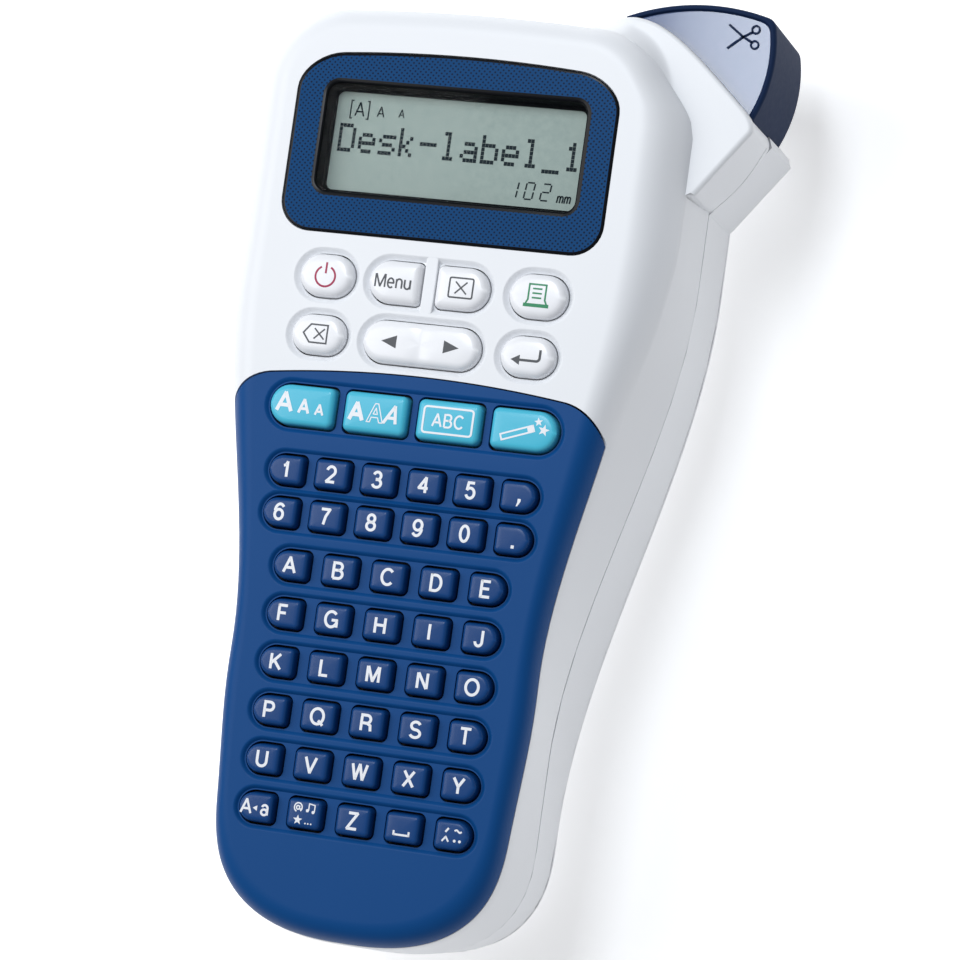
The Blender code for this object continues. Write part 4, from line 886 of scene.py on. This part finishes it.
# Plain sans-serif capitals, figures and a few small letters as centre lines in a box one unit high: a pair
# is a point, and a six is an elliptical arc (centre x, centre y, half width, half height, from, to).
GLYPHS = {
    "A": [[(0, 0), (.42, 1), (.84, 0)], [(.14, .32), (.70, .32)]],
    "B": [[(0, 0), (0, 1), (.36, 1), (.36, .765, .26, .235, 90, -90), (0, .53)],
          [(.36, .53), (.38, .265, .30, .265, 90, -90), (0, 0)]],
    "C": [[(.43, .5, .43, .5, 42, 318)]],
    "D": [[(0, 0), (0, 1), (.30, 1), (.30, .5, .42, .5, 90, -90), (0, 0)]],
    "E": [[(.62, 1), (0, 1), (0, 0), (.64, 0)], [(0, .52), (.57, .52)]],
    "F": [[(.60, 1), (0, 1), (0, 0)], [(0, .51), (.52, .51)]],
    "G": [[(.44, .5, .44, .5, 42, 338)], [(.47, .45), (.86, .45), (.86, 0)]],
    "H": [[(0, 0), (0, 1)], [(.70, 0), (.70, 1)], [(0, .52), (.70, .52)]],
    "I": [[(0, 0), (0, 1)]],
    "J": [[(.50, 1), (.50, .27), (.25, .27, .25, .27, 0, -180)]],
    "K": [[(0, 0), (0, 1)], [(.68, 1), (0, .34)], [(.24, .56), (.72, 0)]],
    "L": [[(0, 1), (0, 0), (.56, 0)]],
    "M": [[(0, 0), (0, 1)], [(.86, 0), (.86, 1)], [(.04, 1), (.43, .04), (.82, 1)]],
    "N": [[(0, 0), (0, 1)], [(.70, 0), (.70, 1)], [(.02, 1), (.68, 0)]],
    "O": [[(.46, .5, .46, .5, 0, 360)]],
    "P": [[(0, 0), (0, 1), (.37, 1), (.37, .735, .28, .265, 90, -90), (0, .47)]],
    "Q": [[(.46, .5, .46, .5, 0, 360)], [(.56, .24), (.90, -.06)]],
    "R": [[(0, 0), (0, 1), (.37, 1), (.37, .745, .28, .255, 90, -90), (0, .49)],
          [(.40, .49), (.66, .36), (.70, 0)]],
    "S": [[(.36, .75, .32, .25, 20, 270), (.36, .25, .36, .25, 90, -160)]],
    "T": [[(0, 1), (.76, 1)], [(.38, 1), (.38, 0)]],
    "U": [[(0, 1), (0, .32), (.35, .32, .35, .32, 180, 360), (.70, 1)]],
    "V": [[(0, 1), (.40, 0), (.80, 1)]],
    "W": [[(0, 1), (.27, 0), (.54, 1), (.81, 0), (1.08, 1)]],
    "X": [[(0, 0), (.72, 1)], [(0, 1), (.72, 0)]],
    "Y": [[(0, 1), (.38, .44), (.76, 1)], [(.38, .46), (.38, 0)]],
    "Z": [[(.03, 1), (.68, 1), (0, 0), (.70, 0)]],
    "0": [[(.30, .5, .30, .5, 0, 360)]],
    "1": [[(0, .73), (.17, .78), (.27, 1), (.27, 0)]],
    "2": [[(.31, .70, .30, .30, 168, -35), (0, 0), (.62, 0)]],
    "3": [[(.28, .75, .26, .25, 165, -90), (.28, .26, .31, .26, 90, -165)]],
    "4": [[(.48, 0), (.48, 1), (0, .30), (.66, .30)]],
    "5": [[(.56, 1), (.12, 1), (.05, .53), (.29, .33, .30, .33, 130, -160)]],
    "6": [[(.31, .32, .30, .32, 0, 360)], [(.36, .52, .35, .48, 40, 178)]],
    "7": [[(0, 1), (.62, 1), (.36, .52), (.24, 0)]],
    "8": [[(.30, .755, .25, .245, 0, 360)], [(.30, .265, .30, .265, 0, 360)]],
    "9": [[(.31, .68, .30, .32, 0, 360)], [(.26, .48, .35, .48, -140, -2)]],
    "@": [[(.5, .5, .5, .5, -50, 250)], [(.47, .48, .19, .21, 0, 360)],
          [(.68, .70), (.66, .36), (.80, .30), (.94, .42)]],
    "a": [[(.50, 0), (.50, .50), (.27, .50, .23, .22, 0, 165)], [(.25, .20, .24, .20, 0, 360)]],
    "e": [[(.03, .37), (.52, .37), (.27, .36, .26, .36, 0, 312)]],
    "m": [[(0, 0), (0, .7)], [(.20, .48, .20, .22, 180, 0), (.40, 0)],
          [(.60, .48, .20, .22, 180, 0), (.80, 0)]],
    "n": [[(0, 0), (0, .7)], [(.24, .45, .24, .26, 180, 0), (.48, 0)]],
    "u": [[(0, .7), (0, .26), (.24, .26, .24, .26, 180, 360), (.48, .7)], [(.48, .7), (.48, 0)]],
}


def centre_line(steps):
    """A glyph's points and arcs as one polyline, and whether it closes on itself."""
    parts = []
    for step in steps:
        if len(step) == 2:
            parts.append(np.array([step], float))
        else:
            cx, cy, rx, ry, start, stop = step
            a = np.radians(np.linspace(start, stop, 5 + int(abs(stop - start) / 14)))
            parts.append(np.stack([cx + rx * np.cos(a), cy + ry * np.sin(a)], 1))
    line = np.concatenate(parts)
    keep = np.ones(len(line), bool)
    keep[1:] = np.linalg.norm(np.diff(line, axis=0), axis=1) > 1e-4
    line = line[keep]
    closed = bool(np.linalg.norm(line[0] - line[-1]) < 1e-4)
    return (line[:-1], True) if closed else (line, False)


def letters(text, height, x=0.0, y=0.0, weight=0.15, squeeze=0.92, slant=0.0, space=0.30):
    """Words drawn with strokes of one weight, a share of their height, and centred on their own box."""
    inner = height * (1 - weight)
    lines, pen = [], 0.0
    for letter in text:
        made = [centre_line(steps) for steps in GLYPHS[letter]]
        wide = max(line[:, 0].max() for line, closed in made)
        lines += [(line + (pen, 0), closed) for line, closed in made]
        pen += wide + space
    every = np.concatenate([line for line, closed in lines])
    low, high = every.min(0), every.max(0)
    middle = np.array([(low[0] + high[0]) / 2, 0.5])
    made = []
    for line, closed in lines:
        flat = (line - middle) * inner
        flat[:, 0] = flat[:, 0] * squeeze + flat[:, 1] * slant
        made.append(mark(flat + (x, y), height * weight, closed))
    return joined(made)


def laid(part, surface, lift=INK_LIFT, sink=INK_SINK):
    """A mark set on a surface whose height is a function of x and y: its high points stand over the
    surface by the lift and its low ones under it by the sink."""
    points, faces = part
    points = points.copy()
    points[:, 2] = surface(points[:, 0], points[:, 1]) + np.where(points[:, 2] > 0.5, lift, -sink)
    return points, faces


def printed(name, parts, surface, body, ink, lift=INK_LIFT, sink=INK_SINK):
    """Marks as one piece laid on a surface and riding on its body."""
    return finished(put(name, *laid(joined(parts), surface, lift, sink), sharp=50), body, ink)


def sign(caps, key, parts, ink):
    """A sign printed on the crown of a key and named for it."""
    return printed(key.replace("key_", "sign_"), parts, caps[key].height, key, ink)


def cross(x, y, reach, width=0.32):
    """Two diagonal strokes through a point."""
    return [mark([(x - reach, y - way * reach), (x + reach, y + way * reach)], width) for way in (1, -1)]


# ------------------------------------------------------------------ keys
class Cap:
    """A cap: side walls with draft, a rounded edge, and a crown that falls as (dx/a)^2 + (dy/b)^2, with an
    optional groove across its middle that deepens as exp(-(dx/reach)^2)."""

    def __init__(self, x, y, w, h, left, right, top, fillet, crown, draft, corner, groove=0.0):
        self.place, self.size, self.ends = (x, y), (w, h), (left, right)
        self.top, self.fillet, self.crown = top, fillet, crown
        self.draft, self.corner, self.groove = draft, corner, groove

    def height(self, x, y):
        """The crown's height over a place."""
        dx, dy = (x - self.place[0]) / (self.size[0] / 2), (y - self.place[1]) / (self.size[1] / 2)
        sunk = self.groove * np.exp(-((x - self.place[0]) / GROOVE_REACH) ** 2)
        return self.top - self.crown * (dx * dx + dy * dy) - sunk

    def skin(self):
        """Rings up the wall, round the edge in five steps and in over the crown."""
        edge = 40 if self.groove else 0
        plan = lambda d: centred(key_outline(*self.size, *self.ends, d, self.corner, edge=edge),
                                 *self.place)
        first = plan(self.draft)
        rings = [at(plan(0), CAP_BASE), at(first, self.height(*first.T) - self.fillet)]
        for a in np.radians((18, 36, 54, 72, 90)):
            ring = plan(self.draft + self.fillet * (1 - math.cos(a)))
            rings.append(at(ring, self.height(*ring.T) - self.fillet * (1 - math.sin(a))))
        inner = plan(self.draft + self.fillet)
        for s in (0.8, 0.55, 0.3, 0.06):
            ring = np.array(self.place) + (inner - self.place) * s
            rings.append(at(ring, self.height(*ring.T)))
        return skin(rings)


def key_caps(keys, shape, finish, slot):
    """One cap for each key, on its own body; only the rocker has a groove across its middle."""
    caps = {}
    for name, plan in keys.items():
        cap = Cap(*plan, **shape, groove=ROCKER_GROOVE if name == "key_arrows" else 0.0)
        caps[name] = cap
        piece = put(name.replace("key_", "cap_"), *cap.skin(), sharp=50)
        finished(piece, name, finish, name, slot=slot)
    return caps


def special_marks(index, x, y):
    """Legends of the lowest row: case change, symbols, space and accents."""
    if index == 0:
        return [letters("A", 3.3, x - 1.9, y, 0.14), letters("a", 3.3, x + 2.1, y, 0.14),
                patch([(x - 0.45, y - 0.2), (x + 0.5, y - 0.75), (x + 0.5, y + 0.35)])]
    if index == 1:
        note = [patch(circle(x + 0.75, y + 0.75, 0.33, 12)), patch(circle(x + 2.0, y + 0.55, 0.33, 12)),
                mark([(x + 1.0, y + 0.75), (x + 1.0, y + 2.2), (x + 2.25, y + 2.0), (x + 2.25, y + 0.6)],
                     0.24)]
        dots = [patch(circle(x + 0.6 + step * 0.62, y - 1.9, 0.17, 8)) for step in range(3)]
        return [letters("@", 2.1, x - 1.3, y + 1.2, 0.13), patch(star(x - 1.1, y - 1.35, 1.05)),
                *note, *dots]
    if index == 3:
        tray = [(x - 1.6, y - 0.6), (x - 1.6, y - 1.4), (x + 1.6, y - 1.4), (x + 1.6, y - 0.6)]
        return [mark(tray, 0.42)]
    wave = np.linspace(0, 1, 12)
    tilde = np.stack([x + 0.55 + wave * 1.5, y + 0.95 + 0.22 * np.sin(wave * 2 * math.pi)], 1)
    return [mark([(x - 1.35, y + 0.55), (x - 0.75, y + 1.4)], 0.4), mark(tilde, 0.36),
            mark([(x - 1.9, y - 1.35), (x - 1.15, y - 0.4), (x - 0.5, y - 1.35)], 0.36),
            patch(circle(x + 0.75, y - 1.05, 0.3, 12)), patch(circle(x + 1.85, y - 1.05, 0.3, 12))]


def character_rows():
    """Each row's caps as one piece of closed skins, and its legends as another."""
    for row, (y, pitch, text) in KEY_ROWS.items():
        node = "key_row_" + row
        skins, marks = [], []
        for index, letter in enumerate(text):
            place = cap_place(index, y, pitch, text)
            x = place[0]
            cap = Cap(*place, **CHARACTER_CAP)
            skins.append(cap.skin())
            if letter == " ":
                these = special_marks(index, x, y)
            elif letter == ",":
                these = [patch([(x + 0.1, y - 1.3), (x - 0.15, y - 2.1), (x + 0.15, y - 2.1),
                                (x + 0.75, y - 1.1), (x + 0.75, y - 0.55), (x + 0.1, y - 0.55)])]
            elif letter == ".":
                these = [patch([(x, y - 1.85), (x + 0.65, y - 1.85), (x + 0.65, y - 1.2), (x, y - 1.2)])]
            else:
                these = [letters(letter, 3.75, x, y, 0.155)]
            marks += [laid(part, cap.height) for part in these]
        finished(put("caps_" + row, *joined(skins), sharp=50), node, NAVY_CAP, node, slot="navy_abs")
        finished(put("legends_" + row, *joined(marks), sharp=50), node, WHITE_INK)


def control_marks(caps):
    """Signs on the white caps: thin strokes in grey, magenta and green."""
    x, y = caps["key_power"].place
    ring = circle(x, y - 0.35, 2.15, 40, 118, 422)
    bar = [(x + 0.02, y + 0.25), (x + 0.02, y + 2.6)]
    sign(caps, "key_power", [mark(ring, 0.42), mark(bar, 0.42)], RED_INK)
    x, y = caps["key_menu"].place
    sign(caps, "key_menu", [letters("Menu", 3.1, x - 0.2, y, 0.118, 0.9, space=0.24)], GREY_INK)
    x, y = caps["key_clear"].place
    frame_line = rounded_box(x - 2.55, x + 2.55, y - 2.05, y + 2.05, 0.3, steps=3, edge=3)
    sign(caps, "key_clear", [mark(frame_line, 0.34, True)] + cross(x, y, 1.25), GREY_INK)
    x, y = caps["key_backspace"].place
    tag = [(x - 3.0, y), (x - 1.5, y - 1.9), (x + 2.2, y - 1.9), (x + 2.2, y + 1.9), (x - 1.5, y + 1.9)]
    sign(caps, "key_backspace", [mark(tag, 0.34, True)] + cross(x + 0.5, y, 1.1), GREY_INK)
    x, y = caps["key_arrows"].place
    left = patch([(x - 8.4, y), (x - 5.1, y - 1.35), (x - 5.1, y + 1.35)])
    right = patch([(x + 8.4, y), (x + 5.1, y + 1.35), (x + 5.1, y - 1.35)])
    sign(caps, "key_arrows", [left, right], GREY_INK)
    x, y = caps["key_enter"].place
    head = patch([(x - 3.3, y - 0.9), (x - 1.4, y - 1.95), (x - 1.4, y + 0.15)])
    corner = circle(x + 2.1, y - 0.2, 0.7, 8, -90, 0)
    bend = mark(np.concatenate([[(x - 1.6, y - 0.9)], corner, [(x + 2.8, y + 1.5)]]), 0.52)
    sign(caps, "key_enter", [head, bend], GREY_INK)
    x, y = caps["key_print"].place
    sheet = [(x - 2.3, y - 1.9), (x - 1.8, y - 0.9), (x - 1.8, y + 2.3), (x + 1.8, y + 2.3),
             (x + 1.8, y - 0.9), (x + 2.3, y - 1.9)]
    lines = [mark([(x - 1.0, y + dy), (x + 1.0, y + dy)], 0.34) for dy in (1.4, 0.45, -0.5)]
    foot = [(x - 2.7, y - 2.05), (x + 2.7, y - 2.05)]
    sign(caps, "key_print", [mark(sheet, 0.36), mark(foot, 0.72)] + lines, GREEN_INK)


def function_marks(caps):
    """White signs on the cyan caps: three sizes, three styles, framed text, wand and stars."""
    x, y = caps["key_text_size"].place
    base = y - 1.9
    sizes = [letters("A", 4.6, x - 3.6, base + 2.3, 0.17, 1.0),
             letters("A", 3.4, x + 0.7, base + 1.7, 0.17, 0.9),
             letters("A", 2.6, x + 4.1, base + 1.3, 0.17, 0.9)]
    sign(caps, "key_text_size", sizes, WHITE_INK)
    x, y = caps["key_text_style"].place
    styles = [letters("A", 4.4, x - 3.9, y, 0.19, 0.95), letters("A", 4.3, x + 3.9, y, 0.15, 0.85, 0.25)]
    outer = [(x - 1.5, y - 1.9), (x, y + 2.0), (x + 0.7, y + 2.0), (x + 2.0, y - 1.9), (x + 1.2, y - 1.9),
             (x + 0.85, y - 0.9), (x - 0.55, y - 0.9), (x - 0.8, y - 1.9)]
    styles.append(mark(outer, 0.22, True))
    styles.append(mark([(x - 0.2, y - 0.2), (x + 0.3, y + 1.1), (x + 0.7, y - 0.2)], 0.22, True))
    sign(caps, "key_text_style", styles, WHITE_INK)
    x, y = caps["key_frame"].place
    line = rounded_box(x - 5.3, x + 5.3, y - 2.7, y + 2.7, 0.6, steps=4, edge=3)
    sign(caps, "key_frame", [mark(line, 0.42, True), letters("ABC", 3.0, x, y, 0.135, 0.86)], WHITE_INK)
    x, y = caps["key_design"].place
    along = np.array([math.cos(math.radians(20)), math.sin(math.radians(20))])
    across = np.array([-along[1], along[0]])
    spot = lambda u, v: tuple(np.array([x - 0.6, y - 0.5]) + along * u + across * v)
    wand = [mark([spot(-4.2, -0.6), spot(2.9, -0.6), spot(2.9, 0.6), spot(-4.2, 0.6)], 0.36, True),
            patch([spot(1.6, -0.6), spot(2.9, -0.6), spot(2.9, 0.6), spot(1.6, 0.6)])]
    stars = [patch(star(x + 3.0, y + 1.9, 0.95, turn=100)), patch(star(x + 4.3, y + 0.3, 1.25, turn=80))]
    sign(caps, "key_design", wand + stars, WHITE_INK)


# ------------------------------------------------------------------ lever
def lever_plan(inset):
    """Plan of the lever set in by a distance: its outer arc about the pivot, an eased corner whose
    control point is where the two end tangents meet, the upper arc, and the hub."""
    cx, cy, radius = LEVER_ARC
    turn = math.degrees(inset / LEVER_RADIUS)
    edge = circle(*PIVOT, LEVER_RADIUS - inset, 26, -29 + turn, 12 - turn * 0.6)
    top = circle(cx, cy, radius - inset, 26, 74 + turn * 0.6, 113.5 - turn)
    a, b = math.radians(12 - turn * 0.6), math.radians(74 + turn * 0.6)
    go, back = np.array([-math.sin(a), math.cos(a)]), np.array([math.sin(b), -math.cos(b)])
    steps = np.linalg.solve(np.stack([go, -back], 1), top[0] - edge[-1])
    corner = bezier([edge[-1], edge[-1] + go * steps[0], top[0]], 9)[1:-1]
    hub = circle(*PIVOT, max(HUB_RADIUS - inset, 0.4), 14, 116, 290)
    return np.concatenate([edge, corner, top, hub])


def lever():
    """Lever: side wall and rounded rim, a polished face set down inside the rim, and raised scissors."""
    rings = []
    for inset, z in ((0.04, LEVER_BACK), (0.04, 46.1), (0.14, 46.55), (0.4, 46.86), (0.8, LEVER_FRONT),
                     (0.95, LEVER_FRONT), (1.1, 46.9), (1.2, 46.65), (1.3, 46.35), (1.5, 46.25)):
        rings.append(at(lever_plan(inset), z))
    piece = put("lever_skin", *skin(rings), sharp=50)
    pin_hole = column(circle(*PIVOT, PIN_RADIUS + GAP), 10, 60)
    carve(piece, [column(lever_plan(2.3), LEVER_BACK - 1, LEVER_INSIDE), pin_hole])
    even(piece, 50)
    # The side wall takes the navy painted darker than the face: painted shade
    finished(piece, "cutter_lever", LEVER_NAVY_PAINTED_SHADE, "cutter_lever", slot="lever_navy")
    face = put("lever_face", *skin([at(lever_plan(1.4), 46.0), at(lever_plan(1.4), 46.27),
                                    at(lever_plan(1.65), LEVER_FACE_TOP)]))
    carve(face, [pin_hole])
    even(face, 50)
    finished(face, "cutter_lever", LEVER_FACE, slot="lever_navy")
    turn, middle = np.array([(-0.999, -0.04), (0.04, -0.999)]), (56.3, 98.9)
    place = lambda points: np.asarray(points, float) @ turn + middle
    rings = [mark(place(circle(-2.4, side * 1.6, 0.8, 20)), 0.42, True) for side in (-1, 1)]
    blades = [mark(place([(-1.8, side * 1.1), (0.3, -side * 0.1), (3.3, -side * 2.5)]), 0.5)
              for side in (-1, 1)]
    # The scissors take the same darker navy: painted shade against the face
    printed("lever_scissors", rings + blades, lambda x, y: LEVER_FACE_TOP + 0 * x, "cutter_lever",
            LEVER_NAVY_PAINTED_SHADE, 0.2, 0.1)


# ------------------------------------------------------------------ pieces carried over
def carried_over():
    """Frame nodes whose own shape is right, each with a real finish."""
    finishes = {"white_abs": WHITE_ABS, "rubber": RUBBER, "board_green": BOARD, "steel": STEEL,
                "cassette_grey": CASSETTE_GREY, "tape_white": TAPE_PAPER, "gear_nylon": NYLON,
                "cell_green": SLEEVE}
    plain = {
        "rear_housing": ("housing", "white_abs"), "key_mat": ("housing", "rubber"),
        "main_board": ("housing", "board_green"), "motor": ("housing", "steel"),
        "print_head": ("housing", "steel"), "roller_holder": ("housing", "cassette_grey"),
        "tape_exit_guide": ("housing", "cassette_grey"), "lever_pivot_pin": ("housing", "steel"),
        "lever_spring": ("housing", "steel"), "battery_contact_left": ("housing", "steel"),
        "battery_contact_right": ("housing", "steel"), "cassette_case": ("cassette", "cassette_grey"),
        "label_tape": ("cassette", "tape_white"), "label_roll": ("label_roll", "tape_white"),
        "ribbon_spool": ("ribbon_spool", "cassette_grey"), "blade_carrier": ("blade", "gear_nylon"),
        "cutter_blade": ("blade", "steel"), "platen_shaft": ("platen", "steel"),
        "platen_roller": ("platen", "rubber"), "platen_gear": ("platen", "gear_nylon"),
        "motor_pinion": ("motor_pinion", "steel"), "first_drive_gear": ("first_drive_gear", "gear_nylon"),
        "second_drive_gear": ("second_drive_gear", "gear_nylon"),
        "ribbon_spindle": ("ribbon_spindle", "gear_nylon"),
    }
    plain.update({f"housing_screw_{index}": ("housing", "steel") for index in range(1, 5)})
    plain.update({f"battery_{index}": ("batteries", "cell_green") for index in range(1, 7)})
    for node, (body, slot) in plain.items():
        smooth_copy(node, finishes[slot], body, slot)


# ------------------------------------------------------------------ stage
def stage():
    """White floor that glows a little as a light table does, a key light high on the left, another over
    the head, a weak sky and the camera."""
    size, level = 3000, -0.05
    corners = np.array([(-size, -size), (size, -size), (size, size), (-size, size)], float)
    floor = put("floor", at(corners, level), [[0, 1, 2, 3]])
    # Matt white acrylic lit from below: a plain field without highlights
    made, _, shader, _ = blank("matt_light_table", Roughness=0.9)
    shader.inputs["Base Color"].default_value = (0.95, 0.95, 0.95, 1)
    shader.inputs["Specular IOR Level"].default_value = 0.1
    shader.inputs["Emission Color"].default_value = (1.0, 1.0, 1.0, 1)
    shader.inputs["Emission Strength"].default_value = 0.43
    floor.data.materials.append(made)
    world = bpy.data.worlds.new("soft_sky")
    world.use_nodes = True
    sky = world.node_tree.nodes["Background"].inputs
    sky["Color"].default_value = (0.92, 0.94, 1.0, 1)
    sky["Strength"].default_value = 0.27
    bpy.context.scene.world = world
    # Place, aim, width and height in metres, power in watts, colour
    lights = {
        "top_softbox": ((-0.09, 0.43, 0.90), (-0.09, 0.20, 0.03), 0.19, 0.45, 3.8, (0.90, 0.95, 1.0)),
        "left_softbox": ((-0.66, 0.14, 0.84), (0.0, 0.0, 0.03), 0.6, 0.8, 5.3, (1.0, 1.0, 1.0)),
    }
    for name, (place, aim, width, height, power, colour) in lights.items():
        light = bpy.data.lights.new(name, "AREA")
        light.shape = "RECTANGLE"
        light.size, light.size_y, light.energy = width, height, power
        light.color = colour
        lamp = bpy.data.objects.new(name, light)
        bpy.context.scene.collection.objects.link(lamp)
        lamp.location = place
        lamp.rotation_euler = (Vector(place) - Vector(aim)).to_track_quat("Z", "Y").to_euler()
    camera = bpy.data.cameras.new("camera")
    camera.lens, camera.sensor_width = 131.96, 36
    camera.clip_end = 20
    eye = bpy.data.objects.new("camera", camera)
    bpy.context.scene.collection.objects.link(eye)
    # The camera's right, up and back, each as a row in the frame
    axes = np.array([(0.95345, 0.13802, -0.26810), (-0.11034, 0.98713, 0.11575),
                     (0.28063, -0.08078, 0.95641)])
    matrix = np.eye(4)
    matrix[:3, :3] = axes.T
    matrix[:3, 3] = (0.2182, -0.0575, 0.7448)
    eye.matrix_world = Matrix(matrix.tolist())
    bpy.context.scene.camera = eye
    bpy.context.scene.view_settings.view_transform = "Standard"


def main():
    """Shells first, then the display, the keys with their signs, the lever, the rest and the stage."""
    front_shell()
    keypad_plate()
    cover_shell()
    display()
    finished(put("crystal_text", *dot_text(), sharp=30), "housing", CRYSTAL_INK)
    finished(put("crystal_signs", *small_signs(), sharp=30), "housing", CRYSTAL_INK)
    control_marks(key_caps(CONTROL_KEYS, CONTROL_CAP, WHITE_CAP, "key_white"))
    function_marks(key_caps(FUNCTION_KEYS, FUNCTION_CAP, CYAN_CAP, "key_cyan"))
    character_rows()
    lever()
    carried_over()
    stage()


main()
